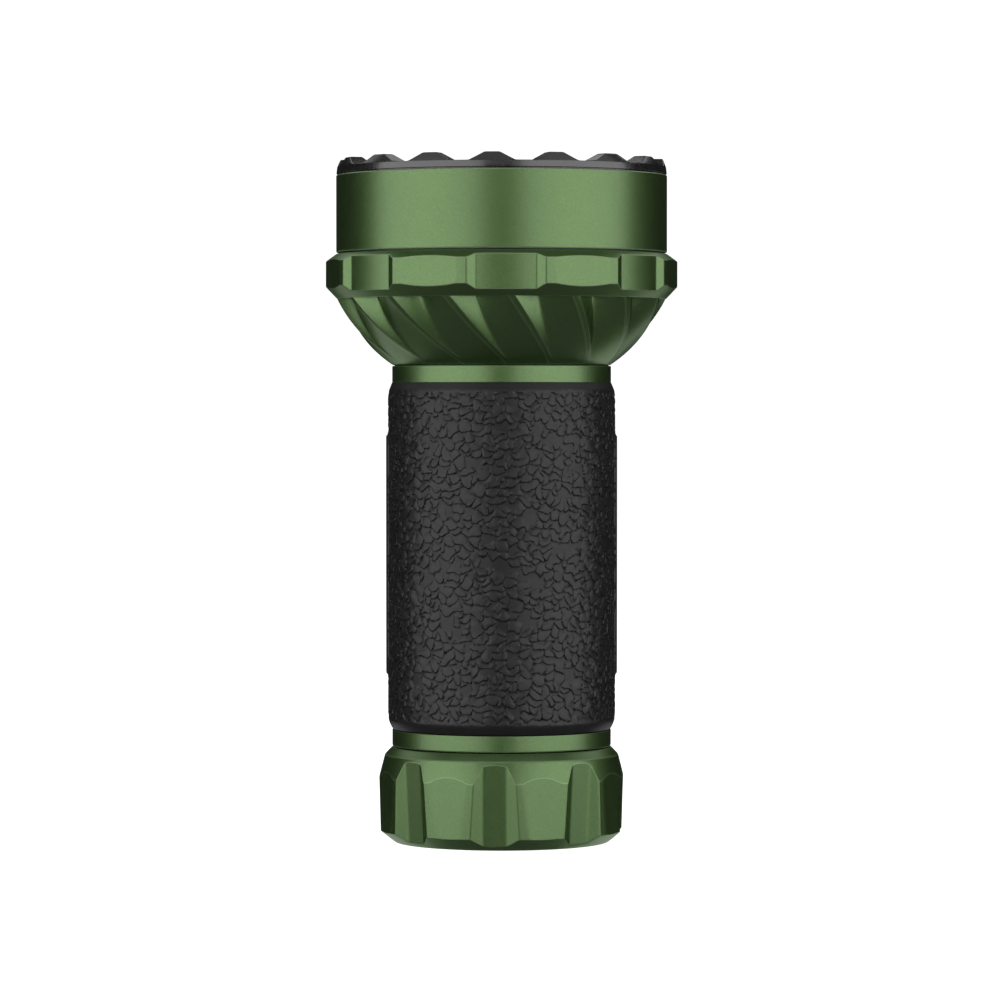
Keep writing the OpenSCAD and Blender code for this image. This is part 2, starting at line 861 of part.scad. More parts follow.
module control_plate() {
    seat = tube_r + sleeve_gap + gasket_h;
    color(black) difference() {
        union() {
            intersection() {
                round_slab(plate_half_w, 5, 30, plate_z0, plate_z1, plate_corner_r);
                translate([0, 0, plate_z0 - 1]) cylinder(r = plate_r, h = plate_z1 - plate_z0 + 2);
            }
            bar_y(knob_seat_r, plate_cavity_y, knob_seat_y, knob_z);
        }
        cylinder(r = seat, h = plate_z1 + 5);
        slab(plate_cavity_half_w, 5, plate_cavity_y, plate_cavity_z0, plate_cavity_z1);
        bar_y(knob_hub_r + 0.3, 5, 30, knob_z);
        slab(lever_slot_half_w, 5, 30, lever_z - lever_slot_half_h, lever_z + lever_slot_half_h);
        indicator_places() bar_y(indicator_r + 0.02, 5, 30, 0);
        plate_screw_places() {
            bar_y(screw_shank_r + 0.1, 5, 30, 0);
            bar_y(screw_head_r + 0.1, screw_head_y0, 30, 0);
        }
    }
}

module plate_gasket() {
    bore = tube_r + sleeve_gap;
    color(black) difference() {
        intersection() {
            round_slab(plate_half_w - 0.1, 5, 30, plate_z0 + 0.1, plate_z1 - 0.1, plate_corner_r);
            translate([0, 0, plate_z0]) cylinder(r = bore + gasket_h, h = plate_z1 - plate_z0);
        }
        cylinder(r = bore, h = plate_z1 + 5);
        slab(plate_cavity_half_w, 5, 30, plate_cavity_z0, plate_cavity_z1);
        plate_screw_places() bar_y(screw_shank_r + 0.1, 5, 30, 0);
    }
}

module plate_screws() {
    color(steel) plate_screw_places() difference() {
        union() {
            bar_y(screw_shank_r, screw_tip_y + 0.1, screw_head_y0 + 0.1, 0);
            bar_y(screw_head_r, screw_head_y0, screw_head_y1, 0);
        }
        translate([0, screw_head_y1 - 0.5, 0]) rotate([-90, 0, 0]) cylinder(r = 0.7, h = 2, $fn = 6);
    }
}

module switch_board() {
    color(board_green) slab(board_half_w, board_y0, board_y1, board_z0, board_z1);
}

module encoder_body() {
    color(steel) difference() {
        slab(encoder_half_w, board_y1, encoder_y, knob_z - encoder_half_w, knob_z + encoder_half_w);
        bar_y(plunger_r + run_gap, plunger_guide_y, encoder_y + 1, knob_z);
    }
}

module switch_plunger() {
    color(board_white) difference() {
        bar_y(plunger_r, plunger_y0, plunger_y1, knob_z);
        bar_y(knob_shaft_r + 0.05, knob_shaft_y - 0.1, plunger_y1 + 1, knob_z);
    }
}

module control_knob() {
    color(black) difference() {
        union() {
            bar_y(knob_shaft_r, knob_shaft_y, knob_hub_y + eps, knob_z);
            bar_y(knob_hub_r, knob_hub_y, knob_y0 + eps, knob_z);
            translate([0, knob_y0, knob_z]) rotate([-90, 0, 0]) rotate_extrude() polygon([
                [0, 0],
                [knob_r - 0.4, 0],
                [knob_r, 0.4],
                [knob_r, knob_y1 - knob_y0 - 0.6],
                [knob_r - 0.6, knob_y1 - knob_y0],
                [0, knob_y1 - knob_y0]
            ]);
        }
        for (i = [0 : knob_flutes - 1]) {
            a = i * 360 / knob_flutes;
            r = knob_r + knob_flute_r * 0.4;
            bar_y(knob_flute_r, knob_y0 + 0.9, knob_y1 + 1, knob_z + r * cos(a), r * sin(a), $fn = 24);
        }
        bar_y(inlay_r, knob_y1 - inlay_h, knob_y1 + 1, knob_z);
    }
}

module knob_inlay() {
    y0 = knob_y1 - inlay_h;
    color(green) difference() {
        bar_y(inlay_r - 0.03, y0, y0 + 0.4, knob_z);
        bar_y(0.6, y0 + 0.2, y0 + 1, knob_z + inlay_r - 1.4);
    }
}

module mode_switch_body() {
    z0 = lever_z - mode_body_half_h;
    z1 = lever_z + mode_body_half_h;
    color(steel) difference() {
        slab(mode_body_half_w, board_y1, mode_body_y, z0, z1);
        slab(mode_body_slot_half_w, board_y1 + 0.15, 30, lever_z - 2.6, lever_z + 2.6);
        translate([-10, lever_y, lever_z]) rotate([0, 90, 0]) cylinder(r = lever_pin_r, h = 20);
    }
}

module lever_pin() {
    w = mode_body_half_w - 0.1;
    color(steel) translate([-w, lever_y, lever_z]) rotate([0, 90, 0]) cylinder(r = lever_pin_r, h = 2 * w);
}

module mode_lever() {
    color(black) difference() {
        union() {
            translate([-lever_hub_half_w, lever_y, lever_z]) rotate([0, 90, 0])
                cylinder(r = lever_hub_r, h = 2 * lever_hub_half_w);
            slab(lever_neck_half_w, lever_y, lever_paddle_y0 + 0.5,
                lever_z - lever_neck_h / 2, lever_z + lever_neck_h / 2);
            round_slab(lever_paddle_half_w, lever_paddle_y0, lever_paddle_y1 - 0.6,
                lever_z - 2, lever_z + 2, 0.8);
            round_slab(lever_paddle_half_w - 0.4, lever_paddle_y0, lever_paddle_y1,
                lever_z - 1.5, lever_z + 1.5, 0.8);
        }
        translate([-10, lever_y, lever_z]) rotate([0, 90, 0]) cylinder(r = lever_bore_r, h = 20);
        for (z = [-0.9 : 0.9 : 0.9])
            slab(10, lever_paddle_y1 - 0.3, lever_paddle_y1 + 1, lever_z + z - 0.15, lever_z + z + 0.15);
    }
}

module indicator_lights() {
    color([0.75, 0.95, 0.75]) intersection() {
        indicator_places() bar_y(indicator_r, plate_cavity_y - 0.4, 30, 0, $fn = 32);
        translate([0, 0, knob_z]) cylinder(r = plate_r - 0.05, h = 30);
    }
}

tail_cap();
charge_insulator();
charge_contact();
tail_magnet();
tail_board();
tail_retainer();
tail_spring();
tail_seal();
battery_cell();
battery_washer();
battery_terminal();
battery_tube();
grip_sleeve();
neck_seal();
driver_board();
driver_parts();
driver_contact();
driver_retainer();
led_wires();
head_body();
barrel_seal();
head_barrel();
bezel_ring();
lens_seal();
front_lens();
lens_gasket();
spot_reflector();
flood_reflector();
spot_board();
spot_led();
board_screws();
flood_board();
flood_leds();
control_plate();
plate_gasket();
plate_screws();
switch_board();
encoder_body();
switch_plunger();
control_knob();
knob_inlay();
mode_switch_body();
lever_pin();
mode_lever();
indicator_lights();
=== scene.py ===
"""Tactical flashlight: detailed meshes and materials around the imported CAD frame.

Lengths inside the script are millimetres and become metres when a mesh is made. Angles are in
degrees around the light's axis, measured from the front, which is -Y, towards +X.
"""
import json
import math

import bpy
import numpy as np
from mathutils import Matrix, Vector


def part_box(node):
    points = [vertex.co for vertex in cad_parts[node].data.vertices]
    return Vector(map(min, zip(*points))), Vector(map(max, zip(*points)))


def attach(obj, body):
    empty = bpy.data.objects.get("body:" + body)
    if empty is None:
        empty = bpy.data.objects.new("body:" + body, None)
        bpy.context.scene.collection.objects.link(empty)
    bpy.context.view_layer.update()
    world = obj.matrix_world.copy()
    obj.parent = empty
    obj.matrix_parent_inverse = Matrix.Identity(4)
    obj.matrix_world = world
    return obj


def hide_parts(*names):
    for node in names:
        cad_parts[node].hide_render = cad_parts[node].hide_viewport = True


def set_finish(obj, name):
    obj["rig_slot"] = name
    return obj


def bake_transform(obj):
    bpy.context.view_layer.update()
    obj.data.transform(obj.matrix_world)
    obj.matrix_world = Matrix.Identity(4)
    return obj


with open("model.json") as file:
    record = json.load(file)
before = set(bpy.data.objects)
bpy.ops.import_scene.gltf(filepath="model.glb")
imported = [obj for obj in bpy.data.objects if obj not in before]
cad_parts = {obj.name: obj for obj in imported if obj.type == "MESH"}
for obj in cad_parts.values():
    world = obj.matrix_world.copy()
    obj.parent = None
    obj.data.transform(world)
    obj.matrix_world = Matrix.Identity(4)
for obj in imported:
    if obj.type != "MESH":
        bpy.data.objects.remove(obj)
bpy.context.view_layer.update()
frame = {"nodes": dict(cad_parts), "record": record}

MM = 0.001
NODES = frame["nodes"]
SLOT_OF = {part["node"]: part["material_slot"] for part in frame["record"]["subparts"]}


# ---- Sizes in millimetres and degrees, read from the frame where a node's box gives them ----

def reach(node):
    """(widest x, lowest z, highest z) of a CAD node, in millimetres."""
    low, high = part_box(node)
    return max(-low.x, high.x) / MM, low.z / MM, high.z / MM


# Tail cap
CAP_H = reach("tail_cap")[2]
CAP_R = 22.85
CAP_LEAN = 0.2
CAP_SIDE_R = CAP_R - CAP_LEAN
CAP_FOOT_R = 19.8
CAP_CHAMFER_Z = 2.2
CAP_SHOULDER_Z = 12.2
CAP_CONE = (16.3, CAP_R - 1.2)
CAP_GROOVES = 8
CAP_GROOVE_HALF_W = 2.2
CAP_GROOVE_FLANK = 30
CAP_FLAT_R = CAP_R - 0.35
CAP_TURN = -3.3

# Battery tube and barrel
RING_R = reach("battery_tube")[0]
TUBE_Z0, TUBE_Z1 = reach("battery_tube")[1:]
THREAD_LEAD = 1.25
BARREL_R, BARREL_Z0, BARREL_Z1 = reach("head_barrel")

# Head body
BOWL_Z0, BOWL_Z1 = 88.45, 101.4
BOWL_ARC_R, BOWL_ARC_AXIS_R, BOWL_ARC_Z = 29.9, 3.3, 113.12
FLUTES = 16
FLUTE_TURN = -18.2
FLUTE_TWIST = 1.33
# Pieces that the runs between a flute's three rounded corners are cut into
FLUTE_CUTS = (4, 10, 2)
WELL_R = 17.5
FLANGE_R = 32.59
FLANGE_GROOVES = 7
FLANGE_TURN = 1.5

# Bezel
BEZEL_TOP_Z = reach("bezel_ring")[2]
BEZEL_LUGS = 16
BEZEL_TURN = -3.3

# Grip sleeve, its side pads and its window for the control plate
SLEEVE_Z0, SLEEVE_Z1 = reach("grip_sleeve")[1:]
SLEEVE_R = 21.15
SLEEVE_END_R = 20.35
SLEEVE_BORE_R = 18.75
SLEEVE_AROUND = 2 * np.pi * SLEEVE_R
PAD_R = 21.45
PAD_TURN = 100
PAD_HALF_ANGLE = 20
PAD_Z0, PAD_Z1 = 31.1, 75.6
WINDOW_HALF_W = 10.6
WINDOW_Z0, WINDOW_Z1 = 40.0, 82.0
WINDOW_CORNER_R = 3.3

# Control knob
KNOB_LOW, KNOB_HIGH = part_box("control_knob")
KNOB_Z = (KNOB_LOW.z + KNOB_HIGH.z) / 2 / MM
KNOB_R = (KNOB_HIGH.z - KNOB_LOW.z) / 2 / MM
KNOB_FLUTES = 24


# ---- Mesh helpers ----

def polar(angle, radius, z):
    """Points in millimetres from an angle in degrees, a radius and a height."""
    angle, radius, z = np.broadcast_arrays(np.radians(angle), radius, z)
    return np.stack([radius * np.sin(angle), -radius * np.cos(angle), z], axis=-1).astype(float)


def add_mesh(name, points, faces, body, slot, nodes=(), sharp=40, edges=None):
    """A smooth-shaded piece from points in millimetres, which stands for the CAD nodes.

    It rides on the body, if one is given. edges holds one number a point, more than 0 on a rounded edge:
    how strongly green_anodised paints its edge highlight and wear there.
    """
    mesh = bpy.data.meshes.new(name)
    mesh.from_pydata((np.asarray(points, float) * MM).tolist(), [], faces)
    mesh.polygons.foreach_set("use_smooth", [True] * len(mesh.polygons))
    if sharp:
        mesh.set_sharp_from_angle(angle=math.radians(sharp))
    mesh.update()
    if edges is not None:
        set_values(mesh, "edge", edges)
    piece = bpy.data.objects.new(name, mesh)
    bpy.context.scene.collection.objects.link(piece)
    if sharp:
        weigh_normals(piece)
    if body:
        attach(piece, body)
    if nodes:
        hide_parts(*nodes)
    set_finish(piece, slot)
    return piece


def set_values(mesh, name, values):
    """Stores one number a point on a mesh; points past the end of the list get 0."""
    full = np.zeros(len(mesh.vertices), np.float32)
    full[:len(values)] = values
    layer = mesh.attributes.new(name, "FLOAT", "POINT")
    layer.data.foreach_set("value", full)


def weigh_normals(piece):
    """Keeps large faces flat beside small rounded edges."""
    weigh = piece.modifiers.new("flat_faces", "WEIGHTED_NORMAL")
    weigh.weight = 80
    weigh.keep_sharp = True


def round_corners(lines, bevels, closed=True, steps=3):
    """Rounds the corners of many polylines at once.

    lines is (..., corner, 3) and bevels holds one setback a corner.
    """
    before = np.roll(lines, 1, axis=-2) - lines
    after = np.roll(lines, -1, axis=-2) - lines
    before_len = np.maximum(np.linalg.norm(before, axis=-1, keepdims=True), 1e-9)
    after_len = np.maximum(np.linalg.norm(after, axis=-1, keepdims=True), 1e-9)
    last = lines.shape[-2] - 1
    out = []
    for k in range(last + 1):
        corner = lines[..., k, :]
        if bevels[k] == 0 or (not closed and k in (0, last)):
            out.append(corner)
            continue
        size = np.minimum(bevels[k], 0.45 * np.minimum(before_len[..., k, :], after_len[..., k, :]))
        start = corner + before[..., k, :] / before_len[..., k, :] * size
        end = corner + after[..., k, :] / after_len[..., k, :] * size
        for t in np.linspace(0, 1, steps + 1):
            out.append((1 - t) ** 2 * start + 2 * t * (1 - t) * corner + t ** 2 * end)
    return np.stack(out, axis=-2)


def edge_share(bevels, closed=True, steps=3):
    """1 for each point round_corners puts inside a rounded corner, 0 for the others."""
    share = []
    for k, bevel in enumerate(bevels):
        plain_end = not closed and k in (0, len(bevels) - 1)
        share += [0] if bevel == 0 or plain_end else [0] + [1] * (steps - 1) + [0]
    return np.array(share, float)


def grid_faces(columns, rows, wrap_columns=True, wrap_rows=True, first=0):
    """Quads over a grid of points numbered column by column."""
    i = np.arange(columns if wrap_columns else columns - 1)[:, None]
    j = np.arange(rows if wrap_rows else rows - 1)[None, :]
    next_i, next_j = (i + 1) % columns, (j + 1) % rows
    quads = np.stack(np.broadcast_arrays(i * rows + j, next_i * rows + j,
                                         next_i * rows + next_j, i * rows + next_j), axis=-1)
    return (quads.reshape(-1, 4) + first).tolist()


def loft(columns, closed=True, first=0):
    """Points and faces of a solid whose outline is (column, row, 3).

    An open outline starts and ends on the axis.
    """
    count, rows = columns.shape[:2]
    faces = grid_faces(count, rows, wrap_rows=closed, first=first)
    points = columns.reshape(-1, 3)
    if not closed:
        low, high = first + len(points), first + len(points) + 1
        points = np.vstack([points, columns[:, 0].mean(axis=0), columns[:, -1].mean(axis=0)])
        for i in range(count):
            j = (i + 1) % count
            faces.append([low, first + j * rows, first + i * rows])
            faces.append([high, first + i * rows + rows - 1, first + j * rows + rows - 1])
    return points, outward(points, faces, first)


def outward(points, faces, first=0):
    """Turns every face over if the solid would be inside out."""
    quads = np.array([face for face in faces if len(face) == 4]) - first
    a, b, c, d = (points[quads[:, k]] for k in range(4))
    volume = np.einsum("ij,ij->", a, np.cross(b, c) + np.cross(c, d))
    return faces if volume > 0 else [face[::-1] for face in faces]


def turned(outline, bevels, count):
    """Columns of a turned solid from a short (radius, z) outline."""
    outline = np.array(outline, float)
    flat = np.stack([outline[:, 0], np.zeros(len(outline)), outline[:, 1]], axis=-1)
    line = round_corners(flat, bevels)
    angle = np.arange(count)[:, None] * 360 / count
    return polar(angle, line[None, :, 0], line[None, :, 2])


# ---- Material helpers ----

class Nodes:
    """A material's node tree, with short calls for the nodes used here."""

    def __init__(self, name):
        self.material = bpy.data.materials.new(name)
        self.material.use_nodes = True
        self.tree = self.material.node_tree
        self.shader = self.tree.nodes["Principled BSDF"]
        self.place = self.tree.nodes.new("ShaderNodeTexCoord").outputs["Object"]

    def add(self, kind, **sockets):
        node = self.tree.nodes.new(kind)
        for name, value in sockets.items():
            node.inputs[name.replace("_", " ")].default_value = value
        return node

    def link(self, output, target):
        self.tree.links.new(output, target)

    def noise(self, size, detail=2.0, rough=0.5, stretch=None):
        """Noise whose features are about size millimetres across."""
        node = self.add("ShaderNodeTexNoise", Scale=1 / (size * MM), Detail=detail, Roughness=rough)
        place = self.place
        if stretch:
            mapping = self.add("ShaderNodeMapping", Scale=stretch)
            self.link(place, mapping.inputs["Vector"])
            place = mapping.outputs["Vector"]
        self.link(place, node.inputs["Vector"])
        return node.outputs["Fac"]

    def spread(self, value, low, high, start=0.3, end=0.7):
        """Maps a 0..1 texture onto low..high."""
        node = self.tree.nodes.new("ShaderNodeMapRange")
        for k, number in enumerate((start, end, low, high), 1):
            node.inputs[k].default_value = number
        self.link(value, node.inputs[0])
        return node.outputs[0]

    def blend(self, share, first, second):
        """Colour between two colours or outputs."""
        node = self.tree.nodes.new("ShaderNodeMix")
        node.data_type = "RGBA"
        self.link(share, node.inputs["Factor"])
        sockets = [s for s in node.inputs if s.type == "RGBA"]
        for socket, colour in zip(sockets, (first, second)):
            if isinstance(colour, (tuple, list)):
                socket.default_value = (*colour, 1)
            else:
                self.link(colour, socket)
        return [s for s in node.outputs if s.type == "RGBA"][0]

    def attribute(self, name):
        """A number stored on the mesh's points."""
        node = self.add("ShaderNodeAttribute")
        node.attribute_name = name
        return node.outputs["Fac"]

    def bump(self, height, depth, strength=1.0):
        """Adds relief of about depth millimetres and returns the normal."""
        node = self.add("ShaderNodeBump", Strength=strength, Distance=depth * MM)
        self.link(height, node.inputs["Height"])
        return node.outputs["Normal"]

    def finish(self, colour, rough=None, normal=None, **sockets):
        """Sets and links the shader's sockets and returns the material."""
        for name, value in sockets.items():
            self.shader.inputs[name.replace("_", " ")].default_value = value
        for output, name in ((colour, "Base Color"), (rough, "Roughness"), (normal, "Normal")):
            if output is not None:
                self.link(output, self.shader.inputs[name])
        return self.material


def scaled(colour, share):
    """A colour made lighter or darker."""
    return tuple(min(c * share, 1.0) for c in colour)


def cloudy(name, colour, roughness, grain=0.25, relief=0.004, vary=0.12, rough_vary=0.05, **sockets):
    """A material with clouds of colour, a fine grain and uneven gloss."""
    n = Nodes(name)
    clouds = n.noise(9, 3)
    fine = n.noise(grain, 3, 0.6)
    base = n.blend(n.spread(clouds, 0, 1), scaled(colour, 1 - vary), scaled(colour, 1 + vary))
    speck = n.blend(n.spread(fine, 0, 0.35), base, scaled(colour, 1 - 2 * vary))
    rough = n.spread(n.noise(2.5, 4), roughness - rough_vary, roughness + rough_vary)
    return n.finish(speck, rough, n.bump(fine, relief), **sockets)


# ---- Materials ----

GREEN = (0.13, 0.24, 0.074)
# paler green of rounded edges: machining wear and a painted highlight
EDGE_WEAR_AND_HIGHLIGHT_GREEN = (0.34, 0.46, 0.27)


def green_anodised():
    """Bead-blasted aluminium under a green anodised film. On rounded edges it is paler and less metallic:
    partly machining wear, partly a painted highlight that keeps the edges bright under any light.
    """
    n = Nodes("green_anodised")
    blast = n.noise(0.26, 3, 0.65)
    clouds = n.noise(14, 2)
    base = n.blend(n.spread(clouds, 0, 1), scaled(GREEN, 0.95), scaled(GREEN, 1.05))
    grain = n.blend(n.spread(blast, 0.0, 0.6, 0.35, 0.7), scaled(GREEN, 0.8), scaled(GREEN, 1.55))
    grain = n.blend(n.spread(clouds, 0.4, 0.6), base, grain)
    # painted highlight and wear: the edge attribute makes rounded edges pale and diffuse, so they look
    # bright from every side
    share = n.spread(n.attribute("edge"), 0.0, 1.0, 0.1, 0.8)
    paler_tone = n.blend(share, grain, EDGE_WEAR_AND_HIGHLIGHT_GREEN)
    rough = n.spread(n.noise(0.5, 3), 0.36, 0.45)
    n.link(n.spread(share, 1.0, 0.3, 0.0, 1.0), n.shader.inputs["Metallic"])
    return n.finish(paler_tone, rough, n.bump(blast, 0.035, 0.9), Coat_Weight=1.0, Coat_IOR=1.56,
                    Coat_Roughness=0.3, Specular_Tint=(0.35, 0.62, 0.22, 1))


def black_anodised():
    """Glossy black anodised aluminium with faint turning marks."""
    n = Nodes("black_anodised")
    marks = n.noise(0.35, 2, 0.5, stretch=(0.2, 0.2, 3.0))
    dust = n.noise(0.3, 3, 0.6)
    base = n.blend(n.spread(dust, 0, 1, 0.45, 0.8), (0.012, 0.012, 0.013), (0.03, 0.03, 0.032))
    rough = n.spread(n.noise(1.5, 3), 0.2, 0.3)
    return n.finish(base, rough, n.bump(marks, 0.0006, 0.3), IOR=1.9, Coat_Weight=0.6, Coat_Roughness=0.12)


def grip_rubber():
    """Matte moulded rubber with painted shade that makes it darker and duller in the creases, most below
    the pebbles' lower edges; a little lighter on the pebbles.
    """
    n = Nodes("grip_rubber")
    # crease_shade is painted shade for the creases; paler_tone is the plain colour of the pebble tops
    crease_shade, paler_tone, dust = (0.003, 0.003, 0.003), (0.0095, 0.0095, 0.0097), (0.04, 0.04, 0.0405)
    # painted shade: the relief attribute darkens the creases and lowers their gloss
    share = n.spread(n.attribute("relief"), 0.0, 1.0, 0.1, 0.9)
    fine = n.noise(0.16, 3, 0.65)
    base = n.blend(share, crease_shade, paler_tone)
    dusty = n.blend(n.spread(n.noise(6, 4), 0.0, 0.16), base, dust)
    rough = n.spread(n.noise(1.2, 3), 0.37, 0.45)
    n.link(n.spread(share, 0.12, 0.44, 0.0, 1.0), n.shader.inputs["Specular IOR Level"])
    return n.finish(dusty, rough, n.bump(fine, 0.004, 0.5), IOR=1.6)


def lens_glass():
    """Coated glass with a trace of dust."""
    n = Nodes("lens_glass")
    dust = n.spread(n.noise(0.8, 4, 0.6), 0.0, 0.06, 0.5, 0.8)
    tint = n.blend(n.noise(20, 1), (0.93, 0.98, 0.95), (0.95, 0.97, 1.0))
    return n.finish(tint, dust, Transmission_Weight=1.0, IOR=1.46)


def mirror():
    """Vacuum-metallised reflector with a very fine orange peel."""
    n = Nodes("mirror")
    peel = n.noise(0.9, 2)
    tone = n.blend(n.noise(12, 2), (0.86, 0.87, 0.88), (0.92, 0.92, 0.93))
    return n.finish(tone, n.spread(n.noise(2, 2), 0.05, 0.1), n.bump(peel, 0.02, 0.35), Metallic=1.0)


def cell_wrap():
    """Shrink film on the battery cell, with faint wrinkles."""
    n = Nodes("cell_wrap")
    wrinkle = n.noise(1.6, 3, 0.5, stretch=(1, 1, 0.15))
    base = n.blend(n.spread(n.noise(7, 3), 0, 1), (0.012, 0.03, 0.11), (0.018, 0.045, 0.15))
    return n.finish(base, n.spread(n.noise(3, 2), 0.22, 0.34), n.bump(wrinkle, 0.03, 0.5), Coat_Weight=0.5)


def circuit_board():
    """Green solder mask over copper tracks."""
    n = Nodes("circuit_board")
    tracks = n.add("ShaderNodeTexBrick", Scale=420.0)
    n.link(n.place, tracks.inputs["Vector"])
    tracks.inputs["Color1"].default_value = (0.004, 0.06, 0.024, 1)
    tracks.inputs["Color2"].default_value = (0.006, 0.085, 0.034, 1)
    tracks.inputs["Mortar"].default_value = (0.012, 0.16, 0.06, 1)
    base = n.blend(n.spread(n.noise(4, 3), 0, 0.5), tracks.outputs["Color"], (0.004, 0.05, 0.02))
    return n.finish(base, n.spread(n.noise(1, 2), 0.3, 0.42), n.bump(n.noise(0.5, 2), 0.01, 0.4))


def build_materials():
    """Every material, under the name of its slot."""
    return {
        "green_anodised": green_anodised(),
        "black_anodised": black_anodised(),
        "grip_rubber": grip_rubber(),
        "seal_rubber": cloudy("seal_rubber", (0.012, 0.012, 0.013), 0.42, 0.3, 0.006),
        "black_plastic": cloudy("black_plastic", (0.02, 0.02, 0.021), 0.5, 0.18, 0.012),
        "white_plastic": cloudy("white_plastic", (0.74, 0.73, 0.7), 0.4, 0.3, 0.004, 0.04),
        "light_pipe": cloudy("light_pipe", (0.55, 0.75, 0.58), 0.3, 0.3, 0.004, 0.06, Coat_Weight=0.4),
        "glass": lens_glass(),
        "mirror": mirror(),
        "steel": cloudy("steel", (0.56, 0.57, 0.58), 0.3, 0.2, 0.004, 0.06, Metallic=1.0),
        "magnet": cloudy("magnet", (0.42, 0.42, 0.43), 0.24, 0.4, 0.003, 0.08, Metallic=1.0),
        "brass": cloudy("brass", (0.78, 0.55, 0.2), 0.27, 0.25, 0.004, 0.08, Metallic=1.0),
        "circuit_board": circuit_board(),
        "white_board": cloudy("white_board", (0.72, 0.72, 0.69), 0.42, 0.3, 0.004, 0.05),
        "emitter": cloudy("emitter", (0.85, 0.66, 0.1), 0.45, 0.15, 0.01, 0.08, Coat_Weight=0.6),
        "cell_wrap": cell_wrap(),
        "wire": cloudy("wire", (0.42, 0.02, 0.02), 0.35, 0.4, 0.004, 0.08),
    }


# ---- Tail cap ----

def corner_line(corners, cuts, bevels):
    """A line through (x, y) corners: inner corners are rounded, and each straight run is cut up."""
    arc = 4
    line = round_corners(np.array(corners, float)[None], bevels, closed=False)[0]
    out = [line[:1]]
    for run, count in enumerate(cuts):
        start, end = line[run * arc], line[run * arc + 1]
        share = np.arange(1, count + 1)[:, None] / count
        out += [start + (end - start) * share, line[run * arc + 2:run * arc + 1 + arc]]
    return np.vstack(out)


def cap_plan(z):
    """Half of one sector of the cap's side at height z, as (x, y), from a groove's middle to a lug's."""
    foot_floor, floor_lean, half_w = 20.8, 0.0644, CAP_GROOVE_HALF_W
    radius = CAP_SIDE_R + CAP_LEAN * (z - CAP_CHAMFER_Z) / (CAP_SHOULDER_Z - CAP_CHAMFER_Z)
    floor = foot_floor + floor_lean * z
    slope = math.tan(math.radians(CAP_GROOVE_FLANK))
    # where the flank meets the round side
    a, b, c = 1 + slope ** 2, 2 * slope * floor, floor ** 2 - radius ** 2
    along = np.roots([a, b + 2 * half_w, c + half_w ** 2])
    along = max(along.real)
    middle = math.radians(180 / CAP_GROOVES)
    edge = math.acos(CAP_FLAT_R / radius)
    flat_middle = (CAP_FLAT_R * math.sin(middle), CAP_FLAT_R * math.cos(middle))
    corners = [
        (0, floor),
        (half_w, floor),
        (half_w + along, floor + slope * along),
        (radius * math.sin(middle - edge), radius * math.cos(middle - edge)),
        flat_middle,
    ]
    return corner_line(corners, (5, 6, 3, 9), (0, 0.35, 0.22, 0.5, 0))


def spin(angle):
    """Matrix that turns rows of (x, y) by an angle in degrees."""
    a = math.radians(angle)
    return np.array([[math.cos(a), -math.sin(a)], [math.sin(a), math.cos(a)]])


def whole_plan(half, count, turn):
    """Repeats half a sector, mirrored, around the axis and returns it as front-facing (x, y) points."""
    mirrored = half[1:-1][::-1] * [-1, 1]
    sector = np.vstack([half, mirrored @ spin(360 / count)])
    flat = np.vstack([sector @ spin(i * 360 / count) for i in range(count)])
    return flat @ spin(turn) * [1, -1]


def cone_cut(low, high, span, cone):
    """Where each line from low to high meets a cone of radius cone(z): heights found by halving."""
    start, end = np.zeros(len(low)), np.ones(len(low))
    for _ in range(40):
        middle = (start + end) / 2
        point = low + (high - low) * middle[:, None]
        outside = np.linalg.norm(point, axis=1) > cone(middle * span)
        start, end = np.where(outside, middle, start), np.where(outside, end, middle)
    point = low + (high - low) * ((start + end) / 2)[:, None]
    return np.column_stack([point, (start + end) / 2 * span])


def tail_cap():
    """Grooved cap: its side is cut by the foot's and the shoulder's cones, and its inside is turned."""
    top_z, top_r = CAP_CONE
    rim_r, bore_r, ledge_z, pocket_r, floor_z, port_r = 20.3, 18.38, 9.3, 16, 4.5, 6
    magnet_r0, magnet_r1, magnet_z = 7, 12, 1.6
    low, high = (whole_plan(cap_plan(z), CAP_GROOVES, CAP_TURN) for z in (0.0, top_z))
    rise = (CAP_SIDE_R - CAP_FOOT_R) / CAP_CHAMFER_Z
    fall = (CAP_R - top_r) / (top_z - CAP_SHOULDER_Z)
    foot = cone_cut(low, high, top_z, lambda z: CAP_FOOT_R + rise * z)
    shoulder = cone_cut(high, low, top_z, lambda t: CAP_R - fall * (top_z - t - CAP_SHOULDER_Z))
    shoulder[:, 2] = top_z - shoulder[:, 2]
    side = (foot + shoulder) / 2
    angle = np.degrees(np.arctan2(side[:, 0], -side[:, 1]))
    rings = [
        (rim_r, CAP_H), (bore_r, CAP_H), (bore_r, ledge_z), (pocket_r, ledge_z), (pocket_r, floor_z),
        (magnet_r1, floor_z), (magnet_r1, magnet_z), (magnet_r0, magnet_z), (magnet_r0, floor_z),
        (port_r, floor_z), (port_r, 0), (CAP_FOOT_R, 0),
    ]
    line = [foot, shoulder, polar(angle, top_r, top_z)] + [polar(angle, r, z) for r, z in rings]
    bevels = (0.12, 0.12, 0.3, 0.25, 0.15) + (0.05,) * 8 + (0.2, 0.3)
    points, faces = loft(round_corners(np.stack(line, axis=1), bevels))
    # strength of the painted edge highlight and wear on the cap's rounded edges
    edges = 0.4 * np.tile(edge_share(bevels), len(side))
    return add_mesh("tail_cap_body", points, faces, "tail", "green_anodised", ["tail_cap"], edges=edges)


# ---- Battery tube ----

def thread_depth(angle, z, z0, z1):
    """Depth share of a V-shaped thread groove, fading out at both ends."""
    turn = ((z - z0) / THREAD_LEAD - angle / 360) % 1
    groove = np.clip((0.38 - np.abs(turn - 0.5)) / 0.28, 0, 1)
    ends = np.clip(np.minimum(z - z0 - 0.5, z1 - 0.1 - z) / 0.5, 0, 1)
    return groove * ends


